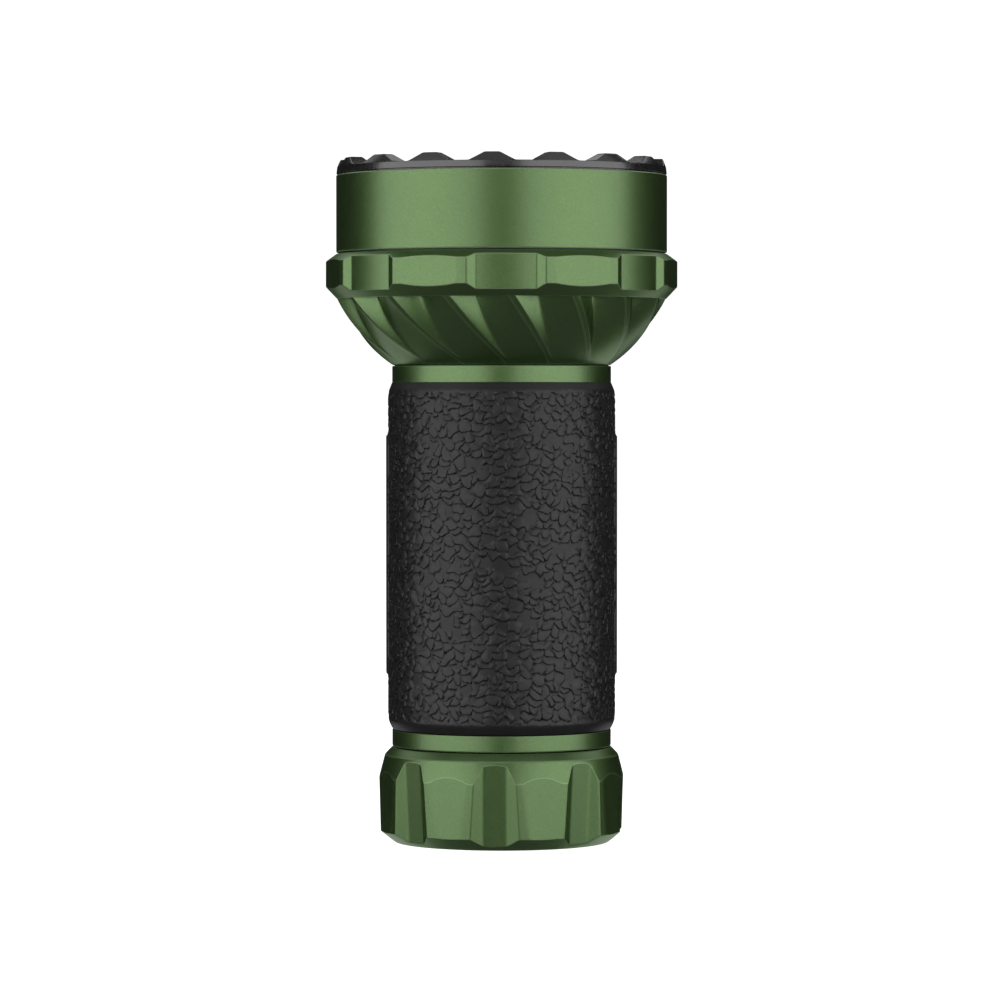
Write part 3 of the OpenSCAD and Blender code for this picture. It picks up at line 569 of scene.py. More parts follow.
def battery_tube():
    """Tube from its tail thread and seal groove to its neck, with a flat pocket behind the controls."""
    count, thread_r, tube_r, bore_r = 256, 18.3, 18.7, 16.6
    thread_z1, thread_deep, groove_r = 15.6, 0.6, 16.03
    # the sleeve fills the space between the two rings
    ring_z, sleeve_z = 17.9, SLEEVE_Z0 - 0.02
    neck_z0, neck_z1, neck_r = SLEEVE_Z1 + 0.02, 88.3, 18.45
    shoulder_r, shoulder_z = 15.4, 88.8
    pocket_y, pocket_z0, pocket_z1 = 17.5, 45.2, 76.8
    angle = np.arange(count) * 360 / count
    back = np.abs((angle + 180) % 360 - 180)
    from_back = np.radians(180 - back)
    pocket_r = np.minimum(tube_r, pocket_y / np.maximum(np.cos(from_back), 0.1))
    threads = np.arange(TUBE_Z0 + 0.4, thread_z1 + 0.001, THREAD_LEAD / 12)
    line = [polar(angle, bore_r, TUBE_Z0), polar(angle, thread_r - 0.4, TUBE_Z0)]
    bevels = [0.1, 0]
    for z in threads:
        line.append(polar(angle, thread_r - thread_deep * thread_depth(angle, z, TUBE_Z0, thread_z1), z))
        bevels.append(0)
    rest = [
        (thread_r, thread_z1, 0.1), (groove_r, thread_z1, 0.1), (groove_r, ring_z, 0.1),
        (RING_R, ring_z, 0.22), (RING_R, sleeve_z, 0.1), (tube_r, sleeve_z, 0.1),
        (tube_r, pocket_z0, 0), (pocket_r, pocket_z0, 0), (pocket_r, pocket_z1, 0), (tube_r, pocket_z1, 0),
        (tube_r, neck_z0, 0.1), (RING_R, neck_z0, 0.06), (RING_R, neck_z1, 0.18), (neck_r, neck_z1, 0.1),
        (neck_r, TUBE_Z1, 0.2), (shoulder_r, TUBE_Z1, 0.2), (shoulder_r, shoulder_z, 0.1),
        (bore_r, shoulder_z, 0.1),
    ]
    for radius, z, bevel in rest:
        line.append(polar(angle, radius, z))
        bevels.append(bevel)
    points, faces = loft(round_corners(np.stack(line, axis=1), bevels))
    # strength of the painted edge highlight and wear on the tube's rounded edges
    edges = 0.5 * np.tile(edge_share(bevels), count)
    return add_mesh("battery_tube_body", points, faces, "light", "green_anodised", ["battery_tube"],
                    edges=edges)


# ---- Head body: fluted bowl and flange ----

def bowl_section(z):
    """Columns around the bowl at height z: for each flute its crest edge, valley and long wall."""
    twist_z, fade_z0, fade_z1, crest, pitch = 101, 89.3, 100.7, 2.4, 360 / FLUTES
    full_wall, wall_slope = 8.8, 30
    radius = BOWL_ARC_AXIS_R + math.sqrt(BOWL_ARC_R ** 2 - (BOWL_ARC_Z - z) ** 2)
    t = twist_z - z
    start = FLUTE_TURN + FLUTE_TWIST * t + 0.0034 * t ** 3
    share = min(max((z - fade_z0) / (fade_z1 - fade_z0), 0.002), 1)
    wall = full_wall * share
    depth = radius * math.radians(wall) * math.tan(math.radians(wall_slope))
    corners = []
    for k in range(FLUTES):
        a = start + k * pitch
        corners += [(a, radius), (a + wall, radius - depth), (a + pitch - crest, radius)]
    corners = polar(np.array(corners)[:, 0], np.array(corners)[:, 1], z)[None]
    soft = round_corners(corners, [0.16, 0.5 * share + 0.02, 0.4] * FLUTES)[0]
    points = []
    for i in range(FLUTES * 3):
        arc = soft[i * 4:(i + 1) * 4]
        nxt = soft[((i + 1) * 4) % len(soft)]
        points += list(arc)
        n = FLUTE_CUTS[i % 3]
        r0, r1 = math.hypot(*arc[3][:2]), math.hypot(*nxt[:2])
        a0, a1 = math.atan2(arc[3][0], -arc[3][1]), math.atan2(nxt[0], -nxt[1])
        a1 = a0 + (a1 - a0 + math.pi) % (2 * math.pi) - math.pi
        for k in range(1, n):
            r, a = r0 + (r1 - r0) * k / n, a0 + (a1 - a0) * k / n
            points.append((r * math.sin(a), -r * math.cos(a), z))
    return np.array(points)


def bowl_shell():
    """Columns of the bowl: its fluted outside, its bore for the neck and the well of the optics."""
    rows, axis_r, bore_r, shelf_z0, shelf_z1 = 44, 0.02, 18.5, 95.3, 100.2
    shell = np.stack([bowl_section(z) for z in np.linspace(BOWL_Z0, BOWL_Z1, rows)], axis=1)
    low, high = shell[:, 0], shell[:, -1]
    angle_low = np.degrees(np.arctan2(low[:, 0], -low[:, 1]))
    angle_high = np.degrees(np.arctan2(high[:, 0], -high[:, 1]))
    inside = [(axis_r, shelf_z0), (bore_r, shelf_z0), (bore_r, BOWL_Z0)]
    well = [(WELL_R, BOWL_Z1), (WELL_R, shelf_z1), (axis_r, shelf_z1)]
    line = [polar(angle_low, r, z) for r, z in inside] + list(shell.transpose(1, 0, 2))
    line += [polar(angle_high, r, z) for r, z in well]
    bevels = [0, 0.1, 0.1, 0.12] + [0] * (rows - 1) + [0.1, 0.1, 0]
    return round_corners(np.stack(line, axis=1), bevels, closed=False)


def bowl_edges(count):
    """How strongly the painted edge highlight and wear show on the flutes' rounded crest edges, in the
    order of bowl_section's points.
    """
    sector = []
    for crest, cut in zip((0.35, 0, 0.25), FLUTE_CUTS):
        sector += [0, crest, crest, 0] + [0] * (cut - 1)
    share = np.tile(np.array(sector, float), FLUTES)
    return np.repeat(share, count // len(share))


def flange_plan():
    """Radius of the flange's side around the whole ring, as (angle, radius) columns."""
    floor_r, flat_r, half, slope = FLANGE_R - 0.94, FLANGE_R - 0.46, 10.0, 2.85
    middle = 180 / FLANGE_GROOVES
    top_half = half + slope * (FLANGE_R - floor_r)
    edge = math.degrees(math.acos(flat_r / FLANGE_R))

    def radius_at(a):
        if a <= half:
            return floor_r
        if a <= top_half:
            return floor_r + (a - half) / slope
        return min(FLANGE_R, flat_r / math.cos(math.radians(middle - a)))

    soft = 0.35
    knots = (half, top_half, middle - edge)
    angles = list(np.linspace(0, half - soft, 9))
    for k, knot in enumerate(knots):
        angles += list(knot + np.array([-0.5, 0, 0.5]) * soft * 1.4)
        end = (knots + (middle,))[k + 1]
        inner = np.linspace(knot + soft, end - (soft if k < 2 else 0), (5, 5, 9)[k])
        angles += list(inner)
    angles = np.unique(np.round(angles, 5))
    fine = np.linspace(-soft, soft, 15)
    smooth = np.array([np.mean([radius_at(abs(a + d)) for d in fine]) for a in angles])
    angle = np.concatenate([angles, (2 * middle - angles[1:-1])[::-1]])
    radius = np.concatenate([smooth, smooth[1:-1][::-1]])
    turns = FLANGE_TURN + np.arange(FLANGE_GROOVES) * 360 / FLANGE_GROOVES
    return (turns[:, None] + angle[None]).ravel(), np.tile(radius, FLANGE_GROOVES)


def flange_shell():
    """Columns of the flange with the spigot and shelf inside it, and each point's strength of painted edge
    highlight and wear.
    """
    foot_r, inner_r, foot_z, side_z0, side_z1, top_z = 30.5, 29.0, 100.7, 102.9, 107.6, 109.0
    spigot_r, spigot_z, pocket_r, shelf_z = 28.55, 112.8, 26.4, 110.2
    angle, side = flange_plan()
    low = foot_z + (side - foot_r) * (side_z0 - foot_z) / (FLANGE_R - foot_r)
    high = side_z1 + (FLANGE_R - side) * (top_z - side_z1) / (FLANGE_R - BARREL_R)
    outline = [
        (inner_r, foot_z, 0), (foot_r, foot_z, 0.12), (side, low, 0.16), (side, high, 0.16),
        (BARREL_R, top_z, 0.14), (spigot_r, top_z, 0.1), (spigot_r, spigot_z, 0.2),
        (pocket_r, spigot_z, 0.2), (pocket_r, shelf_z, 0.1), (WELL_R, shelf_z, 0.1),
        (WELL_R, BOWL_Z1, 0), (inner_r, BOWL_Z1, 0),
    ]
    line = np.stack([polar(angle, r, z) for r, z, _ in outline], axis=1)
    bevels = [bevel for _, _, bevel in outline]
    return round_corners(line, bevels), 0.6 * np.tile(edge_share(bevels), len(angle))


def head_body():
    """Bowl and flange, which are one piece of metal."""
    bowl = bowl_shell()
    flange, flange_edges = flange_shell()
    points, faces = loft(bowl, closed=False)
    more_points, more_faces = loft(flange, first=len(points))
    edges = np.zeros(len(points))
    edges[:bowl[..., 0].size] = bowl_edges(bowl[..., 0].size)
    edges = np.concatenate([edges, flange_edges])
    points = np.vstack([points, more_points])
    return add_mesh("head_body_shell", points, faces + more_faces, "light", "green_anodised", ["head_body"],
                    edges=edges)


# ---- Barrel and bezel ----

def head_barrel():
    """Plain ring with rounded edges."""
    count, bore_r, bevels = 240, 28.6, (0.1, 0.3, 0.3, 0.1)
    outline = [(bore_r, BARREL_Z0), (BARREL_R, BARREL_Z0), (BARREL_R, BARREL_Z1), (bore_r, BARREL_Z1)]
    points, faces = loft(turned(outline, bevels, count))
    # strength of the painted edge highlight and wear on the barrel's rounded edges
    edges = 0.8 * np.tile(edge_share(bevels), count)
    return add_mesh("head_barrel_shell", points, faces, "light", "green_anodised", ["head_barrel"],
                    edges=edges)


def bezel_top(angle):
    """Height of the crown at an angle: trapezoid lugs with softly rounded corners."""
    lug_w, flank_w, height, top_r = 2.75, 2.8, 1.5, 29.9
    pitch = 360 / BEZEL_LUGS
    soft = np.radians(np.linspace(-0.3, 0.3, 9)) * top_r
    away = np.abs((angle - BEZEL_TURN + pitch / 2) % pitch - pitch / 2)
    along = np.radians(away)[:, None] * top_r + soft[None]
    drop = np.clip((np.abs(along) - lug_w / 2) / flank_w, 0, 1)
    return BEZEL_TOP_Z - height * drop.mean(axis=1)


def bezel_ring():
    """Crown of lugs on a band, with a skirt inside the barrel and a lip over the lens."""
    count = BEZEL_LUGS * 40
    angle = np.arange(count) * 360 / count + BEZEL_TURN
    band_z, band_r, lean_out, lean_in = 125.0, 30.5, 0.387, 0.774
    open_r, pocket_r, lip_z, skirt_r, skirt_z = 26.3, 27.6, 124.5, 28.55, 118.5
    neck_r, neck_z, foot_r, foot_z = 30.2, 123.6, 30.63, 123.8
    top = bezel_top(angle)
    outer, inner = band_r - lean_out * (top - band_z), open_r + lean_in * (top - band_z)
    outline = [
        (pocket_r, skirt_z, 0.1), (skirt_r, skirt_z, 0.1), (skirt_r, neck_z, 0.05), (neck_r, neck_z, 0.05),
        (neck_r, foot_z, 0.05), (foot_r, foot_z, 0.12), (band_r, band_z, 0.1), (outer, top, 0.18),
        (inner, top, 0.16), (open_r, band_z, 0.03), (open_r, lip_z, 0.1), (pocket_r, lip_z, 0.1),
    ]
    line = np.stack([polar(angle, r, z) for r, z, _ in outline], axis=1)
    points, faces = loft(round_corners(line, [bevel for _, _, bevel in outline]))
    return add_mesh("bezel_crown", points, faces, "light", "black_anodised", ["bezel_ring"])


# ---- Optics ----

def spot_reflector():
    """Paraboloid of the focal length, with a wall behind it and a collar round the emitter."""
    count, focal, focus_z, wall, top_r = 160, 3.26, 102.9, 0.9, 16.6
    rim_r, rim_z, foot_z, collar_w, collar_z = 17.4, 120.9, 102.0, 2.2, 106
    heights = focus_z + (rim_z - focus_z) * np.linspace(0, 1, 40) ** 1.6
    radius = np.minimum(2 * np.sqrt(focal * (focal + heights - focus_z)), top_r)
    inside = list(zip(radius, heights))
    outside = [(min(r + wall, rim_r - 0.05), z - wall) for r, z in inside[::-3] if z > collar_z]
    outline = [(radius[0], foot_z)] + inside + [(rim_r, rim_z), (rim_r, rim_z - wall)] + outside
    outline += [(radius[0] + collar_w, foot_z)]
    points, faces = loft(turned(outline, [0] * len(outline), count))
    return add_mesh("spot_reflector_bowl", points, faces, "light", "mirror", ["spot_reflector"], sharp=50)


# ---- Tail spring ----

def tail_spring():
    """A conical coil with closed ends, which stretches between the cap and the rising cell."""
    coils, steps, sides, wire, low_z, high_z = 5, 48, 14, 0.55, 6.0, 15.0
    low_r, taper = 9, 1.5
    # height that one closed coil takes up
    closed = 2.16 * wire
    n = coils * steps
    t = np.arange(n + 1) / n
    flat = 0.75 / coils
    rise = np.clip((t - flat) / (1 - 2 * flat), 0, 1)
    lap = closed * np.minimum(np.minimum(t / flat, 1), (1 - t) / flat)
    low, high = low_z + wire, high_z - wire
    height = np.where(t < flat, low + lap, np.where(t > 1 - flat, high - lap,
                      low + closed + rise * (high - low - 2 * closed)))
    radius = low_r - taper * t
    a = 2 * np.pi * coils * t
    b = 2 * np.pi * np.arange(sides) / sides
    out = radius[:, None] + wire * np.cos(b)[None]
    points = np.stack([out * np.cos(a)[:, None], out * np.sin(a)[:, None],
                       height[:, None] + wire * np.sin(b)[None]], axis=-1)
    faces = grid_faces(n + 1, sides, wrap_columns=False)
    faces += [list(range(sides))[::-1], [n * sides + k for k in range(sides)]]
    flat_points = points.reshape(-1, 3)
    piece = add_mesh("tail_spring_coil", flat_points, outward(flat_points, faces), None, "steel",
                     ["tail_spring"])
    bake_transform(piece)
    return piece


# ---- Control knob ----

def knob_side(angle, radius):
    """Radius of the knob's fluted side."""
    pitch, flute_r = 360 / KNOB_FLUTES, 0.75
    centre = radius + 0.3
    away = np.radians((angle + pitch / 2) % pitch - pitch / 2)
    inside = flute_r ** 2 - (centre * np.sin(away)) ** 2
    cut = centre * np.cos(away) - np.sqrt(np.maximum(inside, 0))
    return np.where(inside > 0, np.minimum(cut, radius), radius)


def control_knob():
    """Fluted knob on a hub and a shaft, with a recess for its inlay."""
    count = KNOB_FLUTES * 16
    angle = np.arange(count) * 360 / count
    side = knob_side(angle, KNOB_R)
    axis_r, shaft_r, shaft_y, hub_r, hub_y = 0.02, 1.0, 20.1, 2.4, 21.3
    base_y, top_y, rim_h, inlay_r, inlay_h = 23.8, KNOB_HIGH.y / MM, 0.9, 4.6, 0.5
    outline = [
        (axis_r, shaft_y, 0), (shaft_r, shaft_y, 0.1), (shaft_r, hub_y, 0.05), (hub_r, hub_y, 0.15),
        (hub_r, base_y, 0.05), (KNOB_R, base_y, 0.4), (KNOB_R, base_y + rim_h, 0.12),
        (side, base_y + rim_h, 0.1), (side, top_y, 0.5), (inlay_r, top_y, 0.12),
        (inlay_r, top_y - inlay_h, 0.05), (axis_r, top_y - inlay_h, 0),
    ]
    line = np.stack([polar(angle, r, y) for r, y, _ in outline], axis=1)
    columns = round_corners(line, [bevel for _, _, bevel in outline], closed=False)
    # the knob's axis lies along +Y
    columns = np.stack([columns[..., 0], columns[..., 2], KNOB_Z - columns[..., 1]], axis=-1)
    points, faces = loft(columns, closed=False)
    return add_mesh("control_knob_body", points, faces, "knob", "black_anodised", ["control_knob"])


# ---- Grip sleeve ----

def waves(u, v, seed, count, size, strength):
    """A smooth wavy field that repeats around the sleeve: features about size millimetres."""
    rng = np.random.default_rng(seed)
    total = np.zeros_like(u)
    for _ in range(count):
        turn = rng.uniform(0, 2 * np.pi)
        pitch = size * rng.uniform(1.6, 3.2)
        ku = round(SLEEVE_AROUND / pitch * np.cos(turn))
        kv = np.sin(turn) / pitch
        total += np.sin(2 * np.pi * (ku * u / SLEEVE_AROUND + kv * v) + rng.uniform(0, 2 * np.pi))
    return total * strength / math.sqrt(count)


def pebbles(u, v):
    """(distance in mm to the nearest pebble's outline, positive on it; the pebble's own 0..1 numbers)."""
    cell_u, cell_v, height = 2.15, 1.4, 70
    nu = round(SLEEVE_AROUND / cell_u)
    nv = int(height / cell_v)
    cell_u = SLEEVE_AROUND / nu
    rng = np.random.default_rng(11)
    jitter = rng.uniform(0.08, 0.92, (2, nu, nv))
    group = np.arange(nu * nv).reshape(nu, nv)
    beside = np.roll(group, -1, axis=0)
    above = np.roll(group, -1, axis=1)
    pick = rng.uniform(0, 1, (nu, nv))
    merged = np.where(pick < 0.28, beside, np.where(pick < 0.42, above, group))
    sunk = rng.uniform(0, 1, nu * nv) < 0.08
    own = rng.uniform(0, 1, (3, nu * nv))
    x = u + waves(u, v, 3, 14, 1.3, 0.34)
    y = v + waves(u, v, 4, 14, 1.3, 0.3)
    iu, iv = np.floor(x / cell_u).astype(int), np.floor(y / cell_v).astype(int)
    fx, fy, ids = [], [], []
    for du in range(-2, 3):
        for dv in range(-2, 3):
            ju, jv = (iu + du) % nu, (iv + dv) % nv
            fx.append((iu + du + jitter[0][ju, jv]) * cell_u - x)
            fy.append((iv + dv + jitter[1][ju, jv]) * cell_v - y)
            ids.append(merged[ju, jv])
    fx, fy, ids = np.array(fx), np.array(fy), np.array(ids)
    dist = fx ** 2 + fy ** 2
    near = dist.argmin(axis=0)[None]
    near_x, near_y = np.take_along_axis(fx, near, 0), np.take_along_axis(fy, near, 0)
    near_d, near_id = np.take_along_axis(dist, near, 0), np.take_along_axis(ids, near, 0)
    gap = np.sqrt((fx - near_x) ** 2 + (fy - near_y) ** 2)
    border = np.where(ids == near_id, 9.0, (dist - near_d) / np.maximum(2 * gap, 1e-6))
    soft = 0.15
    inside = -soft * np.log(np.exp(-border / soft).sum(axis=0))
    near_id = near_id[0]
    width = 0.02 + 0.08 * np.clip(0.5 + waves(u, v, 5, 10, 2.5, 0.6), 0, 1) + 0.1 * own[2][near_id]
    inside = np.where(sunk[near_id], -0.1 - inside, inside - width)
    return inside, own[0][near_id], own[1][near_id]


def sleeve_profile(z):
    """Smooth radius of the sleeve at height z."""
    corners = np.array([
        (SLEEVE_END_R - 0.35, 0, SLEEVE_Z0), (SLEEVE_END_R, 0, SLEEVE_Z0 + 0.3),
        (SLEEVE_R - 0.2, 0, SLEEVE_Z0 + 1.5), (SLEEVE_R, 0, SLEEVE_Z0 + 3),
        (SLEEVE_R, 0, SLEEVE_Z1 - 2), (SLEEVE_END_R, 0, SLEEVE_Z1),
    ])
    line = round_corners(corners, (0, 0.2, 0.7, 1.2, 1.0, 0), closed=False, steps=6)
    return np.interp(z, line[:, 2], line[:, 0])


def step(value, low, high):
    """Smooth 0..1 step."""
    t = np.clip((value - low) / (high - low), 0, 1)
    return t * t * (3 - 2 * t)


def window_gap(x, z):
    """Signed distance in mm from the edge of the sleeve's window, negative inside it."""
    half_h = (WINDOW_Z1 - WINDOW_Z0) / 2
    dx = np.abs(x) - (WINDOW_HALF_W - WINDOW_CORNER_R)
    dz = np.abs(z - (WINDOW_Z0 + WINDOW_Z1) / 2) - (half_h - WINDOW_CORNER_R)
    outside = np.hypot(np.maximum(dx, 0), np.maximum(dz, 0))
    return outside + np.minimum(np.maximum(dx, dz), 0) - WINDOW_CORNER_R


def relief_grid(count_u, count_v):
    """(distance around and up the sleeve, whether the point is on a pebble, how near it is to the
    pebble's upper edge, how much painted shade it gets in the creases at a pebble's foot, most below its
    lower edge), for a grid of points."""
    step_u, step_v = SLEEVE_AROUND / count_u, (SLEEVE_Z1 - SLEEVE_Z0) / (count_v - 1)
    u, v = np.meshgrid(np.arange(count_u) * step_u, np.arange(count_v) * step_v, indexing="ij")
    inside = pebbles(u, v)[0]
    slope_u = (np.roll(inside, -1, 0) - np.roll(inside, 1, 0)) / (2 * step_u)
    slope_v = np.gradient(inside, step_v, axis=1)
    steep = np.maximum(np.hypot(slope_u, slope_v), 0.35)
    # points beside an outline move onto the top or the foot of its wall, so walls are even and steep
    on = inside > 0
    crossing = np.zeros_like(on)
    for du in (-1, 0, 1):
        for dv in (-1, 0, 1):
            other = np.roll(np.roll(on, du, 0), dv, 1)
            crossing |= other != on
    half_wall, longest, end_h = 0.045, 0.17, 0.5
    target = np.where(on, half_wall, -half_wall)
    move = np.where(crossing, np.clip((target - inside) / steep, -longest, longest), 0)
    u = u + move * slope_u / steep
    moved = v + move * slope_v / steep
    v = np.where((v > end_h) & (v < v.max() - end_h), moved, v)
    # pebbles sink a little towards their upper edge and end in a steep wall at their lower one
    lie = slope_v / np.maximum(np.hypot(slope_u, slope_v), 1e-6)
    upper = np.clip(0.4 - 0.9 * lie, 0, 1) * (1 - np.clip(inside / 0.8, 0, 1))
    # painted shade at a pebble's foot, strongest below its lower edge, as if lit from above
    foot = np.where(crossing & ~on, np.clip(0.3 + 0.8 * lie, 0, 1), 0)
    return u, v, on, upper, foot


def sleeve_surface():
    """(angle, z, radius, relief) of the sleeve, with raised side pads and a smooth rim at the window;
    relief carries the painted crease shade.
    """
    count_u, count_v = 616, 302
    u, v, on, upper, foot = relief_grid(count_u, count_v)
    angle = np.degrees(u / SLEEVE_R) - 90
    z = SLEEVE_Z0 + v
    _, lift, tone = pebbles(u, v)
    side = np.abs((angle + 180) % 360 - 180)
    # distance in from the nearest edge of a pad
    pad_edge = (PAD_HALF_ANGLE - np.abs(side - PAD_TURN)) * math.radians(1) * SLEEVE_R
    pad_edge = np.minimum(pad_edge, np.minimum(z - PAD_Z0, PAD_Z1 - z))
    pad = step(pad_edge, 0, 0.35)
    x = SLEEVE_R * np.sin(np.radians(angle))
    back = side > 90
    rim = np.where(back, step(window_gap(x, z), 1.0, 1.6), 1)
    ends = step(v, 1.9, 2.6) * step(SLEEVE_Z1 - SLEEVE_Z0 - v, 1.5, 2.1)
    cover = rim * ends * (1 - step(pad_edge, -0.5, -0.2))
    height = np.where(on, 0.16 + 0.03 * lift - 0.14 * upper, 0.02 * waves(u, v, 8, 8, 2.0, 0.5))
    recess, share = 0.21, 0.97
    radius = sleeve_profile(z) - recess * cover + height * cover * share + (PAD_R - SLEEVE_R) * pad
    radius += 0.007 * waves(u, v, 9, 10, 1.2, 1.0) * cover * on
    plain_relief = 0.85
    # painted shade: relief is low at the pebbles' feet, which darkens them in grip_rubber
    relief = np.where(on, 0.9 + 0.1 * tone, 0.86 - 0.7 * foot) * cover + (1 - cover) * plain_relief
    return angle, z, np.minimum(radius, PAD_R), relief


def sleeve_half(columns, surface):
    """One half of the sleeve: textured outside, walls at its ends and window, and a plain bore."""
    angle, z, radius, relief = (part[columns] for part in surface)
    count, rows = angle.shape
    x = radius * np.sin(np.radians(angle))
    side = np.abs((angle + 180) % 360 - 180)
    gap = np.where(side > 90, window_gap(x, z), 9.0)
    centre = (gap[:-1, :-1] + gap[1:, :-1] + gap[:-1, 1:] + gap[1:, 1:]) / 4
    keep = centre > 0
    # corners of kept quads beside the window move onto its outline
    kept_by = np.zeros((count, rows), bool)
    lost_by = np.zeros((count, rows), bool)
    for du in (0, 1):
        for dv in (0, 1):
            kept_by[du:count - 1 + du, dv:rows - 1 + dv] |= keep
            lost_by[du:count - 1 + du, dv:rows - 1 + dv] |= ~keep
    edge = kept_by & lost_by
    tiny = 0.01
    slope_x = (window_gap(x + tiny, z) - window_gap(x - tiny, z)) / (2 * tiny)
    slope_z = (window_gap(x, z + tiny) - window_gap(x, z - tiny)) / (2 * tiny)
    x = np.where(edge, x - gap * slope_x, x)
    z = np.where(edge, z - gap * slope_z, z)
    fixed = np.degrees(np.arcsin(np.clip(x / radius, -1, 1)))
    angle = np.where(edge, 180 - fixed, angle)
    outside = polar(angle, radius, z).reshape(-1, 3)
    number = np.arange(count * rows).reshape(count, rows)
    quads = np.stack([number[:-1, :-1], number[1:, :-1], number[1:, 1:], number[:-1, 1:]], axis=-1)
    faces = quads[keep].tolist()
    # walls from each free edge in to the bore, and long plain strips along the bore
    twin = {}

    def inner(k):
        if k not in twin:
            twin[k] = count * rows + len(twin)
        return twin[k]

    padded = np.zeros((count + 1, rows + 1), bool)
    padded[1:-1, 1:-1] = keep
    for i in range(count - 1):
        column = padded[i + 1]
        starts = [j for j in range(rows - 1) if column[j + 1] and not column[j]]
        ends = [j + 1 for j in range(rows - 1) if column[j + 1] and not column[j + 2]]
        for low, high in zip(starts, ends):
            a, b, c, d = number[i, low], number[i + 1, low], number[i + 1, high], number[i, high]
            faces.append([int(b), int(a), inner(int(a)), inner(int(b))])
            faces.append([int(d), int(c), inner(int(c)), inner(int(d))])
            faces.append([inner(int(b)), inner(int(a)), inner(int(d)), inner(int(c))])
    for i in range(1, count - 1):
        for j in range(rows - 1):
            left, right = padded[i, j + 1], padded[i + 1, j + 1]
            if left != right:
                a, b = int(number[i, j]), int(number[i, j + 1])
                wall = [a, b, inner(b), inner(a)]
                faces.append(wall if left else wall[::-1])
    order = sorted(twin, key=twin.get)
    ring = outside[order].copy()
    ring[:, :2] *= SLEEVE_BORE_R / np.hypot(ring[:, 0], ring[:, 1])[:, None]
    # the bore's points get relief 0.5, half as dark as the painted crease shade
    return np.vstack([outside, ring]), faces, np.concatenate([relief.ravel(), np.full(len(order), 0.5)])


def drop_unused(points, faces, values):
    """Leaves out points that no face uses."""
    flat = np.concatenate([np.array(face) for face in faces])
    used = np.unique(flat)
    number = np.full(len(points), -1)
    number[used] = np.arange(len(used))
    return points[used], [number[face].tolist() for face in faces], values[used]


def grip_sleeve():
    """The sleeve's front and back halves, which keep each piece's triangles within limits."""
    surface = sleeve_surface()
    total = surface[0].shape[0]
    # angles run from -90, so the first half of the columns is the front
    halves = {
        "grip_sleeve_front": np.arange(0, total // 2 + 1),
        "grip_sleeve_back": np.arange(total // 2, total + 1) % total,
    }
    made = []
    for name, columns in halves.items():
        points, faces, relief = drop_unused(*sleeve_half(columns, surface))
        piece = add_mesh(name, points, faces, "light", "grip_rubber", ["grip_sleeve"], sharp=None)
        piece.data.set_sharp_from_angle(angle=math.radians(38))
        set_values(piece.data, "relief", relief)
        made.append(piece)
    return made


# ---- CAD nodes that stay ----

def dress_cad(materials):
    """Gives every CAD node its material, and the machined ones a small rounded edge."""
    edges = {
        "control_plate": 0.16, "mode_lever": 0.14, "plate_screws": 0.06, "knob_inlay": 0.06,
        "charge_contact": 0.12, "charge_insulator": 0.1, "battery_terminal": 0.15, "tail_magnet": 0.15,
        "tail_retainer": 0.12, "tail_board": 0.06, "board_screws": 0.1, "encoder_body": 0.12,
        "mode_switch_body": 0.12, "spot_led": 0.06, "flood_leds": 0.05, "flood_reflector": 0.08,
    }
    for name, node in NODES.items():
        node.data.materials.clear()
        node.data.materials.append(materials[SLOT_OF[name]])
        weld = node.modifiers.new("joined_points", "WELD")
        weld.merge_threshold = 1e-7
        if name in edges:
            bevel = node.modifiers.new("rounded_edges", "BEVEL")
            bevel.width = edges[name] * MM
            bevel.segments = 2
            bevel.limit_method = "ANGLE"
            bevel.angle_limit = math.radians(38)
        weigh_normals(node)


# ---- Stage, light and camera ----

def plain(name, colour, glow):
    """A plain pale surface for the stage."""
    n = Nodes(name)
    shade = n.blend(n.noise(400, 1), scaled(colour, 0.995), colour)
    n.link(shade, n.shader.inputs["Emission Color"])
    return n.finish(shade, Roughness=0.9, Emission_Strength=glow)


def stage():
    """A pale floor and a pale wall behind it, seen only by the camera."""
    size, pale, glow = 6.0, (0.98, 0.98, 0.98), 1.1
    planes = {
        "floor": [(-size, -size, 0), (size, -size, 0), (size, size, 0), (-size, size, 0)],
        "backdrop": [(-size, size, 0), (size, size, 0), (size, size, size), (-size, size, size)],
    }
    for name, corners in planes.items():
        mesh = bpy.data.meshes.new(name)
        mesh.from_pydata(corners, [], [(0, 1, 2, 3)])
        mesh.materials.append(plain(name, pale, glow))
        piece = bpy.data.objects.new(name, mesh)
        bpy.context.scene.collection.objects.link(piece)
        piece.visible_glossy = False
        piece.visible_diffuse = False
        piece.visible_transmission = False
        piece.visible_shadow = False


def softbox(name, azimuth, distance, width, low, high, radiance):
    """An upright soft light: azimuth in degrees from the front towards +X, lengths in metres."""
    light = bpy.data.lights.new(name, "AREA")
    light.shape = "RECTANGLE"
    light.size, light.size_y = width, high - low
    light.energy = radiance * math.pi * width * (high - low)
    piece = bpy.data.objects.new(name, light)
    a = math.radians(azimuth)
    piece.location = (distance * math.sin(a), -distance * math.cos(a), (low + high) / 2)
    piece.rotation_euler = Vector((-math.sin(a), math.cos(a), 0)).to_track_quat("-Z", "Y").to_euler()
    bpy.context.scene.collection.objects.link(piece)


def flat_light(name, height, size, radiance):
    """A level square light above the object, or below it where the height is negative."""
    light = bpy.data.lights.new(name, "AREA")
    light.size = size
    light.energy = radiance * math.pi * size * size
    piece = bpy.data.objects.new(name, light)
    piece.location = (0, 0, height)
    if height < 0:
        piece.rotation_euler = (math.pi, 0, 0)
    bpy.context.scene.collection.objects.link(piece)


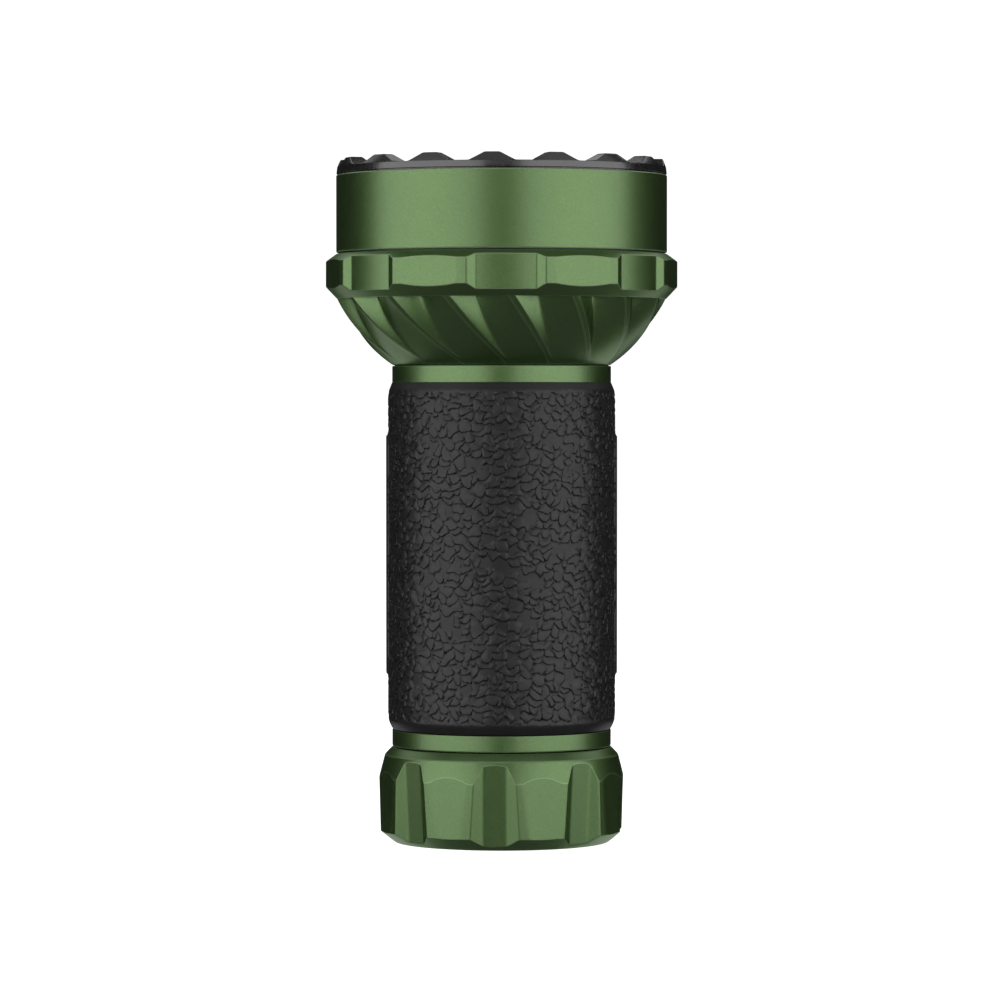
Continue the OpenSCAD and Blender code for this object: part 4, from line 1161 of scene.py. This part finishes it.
def lights():
    """Softboxes round and above the object, a faint light from below and a faint even glow."""
    away = 0.75
    for side, sign in (("left", -1), ("right", 1)):
        softbox(side + "_softbox", sign * 53.5, away, 1.3, -0.14, 0.52, 1.32)
        softbox(side + "_upper_softbox", sign * 62, away, 0.9, 0.53, 1.4, 0.36)
        # low and high behind the object, where the front view's edges do not mirror them
        softbox(side + "_back_low_softbox", sign * 158, away, 0.58, -0.8, -0.15, 0.5)
        softbox(side + "_back_high_softbox", sign * 140, away, 0.9, 0.42, 1.1, 0.6)
    softbox("front_fill", 0, away, 0.3, 0.2, 0.52, 0.22)
    softbox("front_upper_softbox", 0, away, 0.9, 0.62, 1.4, 0.27)
    flat_light("top_softbox", 0.9, 0.9, 0.3)
    flat_light("floor_bounce", -0.35, 1.6, 0.09)
    world = bpy.data.worlds.new("studio")
    world.use_nodes = True
    background = world.node_tree.nodes["Background"]
    background.inputs["Color"].default_value = (1, 1, 1, 1)
    background.inputs["Strength"].default_value = 0.01
    bpy.context.scene.world = world


def camera():
    """A long lens in front, a little above the object's middle and looking slightly down."""
    side, distance, height, aim_z = -0.0003, 0.874, 0.082, 0.06342
    lens = bpy.data.cameras.new("camera")
    lens.sensor_width = 36
    lens.lens = 169.45
    lens.clip_start, lens.clip_end = 0.05, 50
    piece = bpy.data.objects.new("camera", lens)
    piece.location = (side, -distance, height)
    aim = Vector((side, 0, aim_z)) - piece.location
    piece.rotation_euler = aim.to_track_quat("-Z", "Y").to_euler()
    bpy.context.scene.collection.objects.link(piece)
    bpy.context.scene.camera = piece
    bpy.context.scene.view_settings.view_transform = "Standard"


# ---- Everything together ----

def build():
    """Dresses the CAD nodes and adds the detailed pieces, the stage, the lights and the camera."""
    materials = build_materials()
    dress_cad(materials)
    pieces = [tail_cap(), battery_tube(), head_body(), head_barrel(), bezel_ring(), spot_reflector(),
              tail_spring(), control_knob(), *grip_sleeve()]
    for piece in pieces:
        piece.data.materials.append(materials[piece["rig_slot"]])
    stage()
    lights()
    camera()


build()
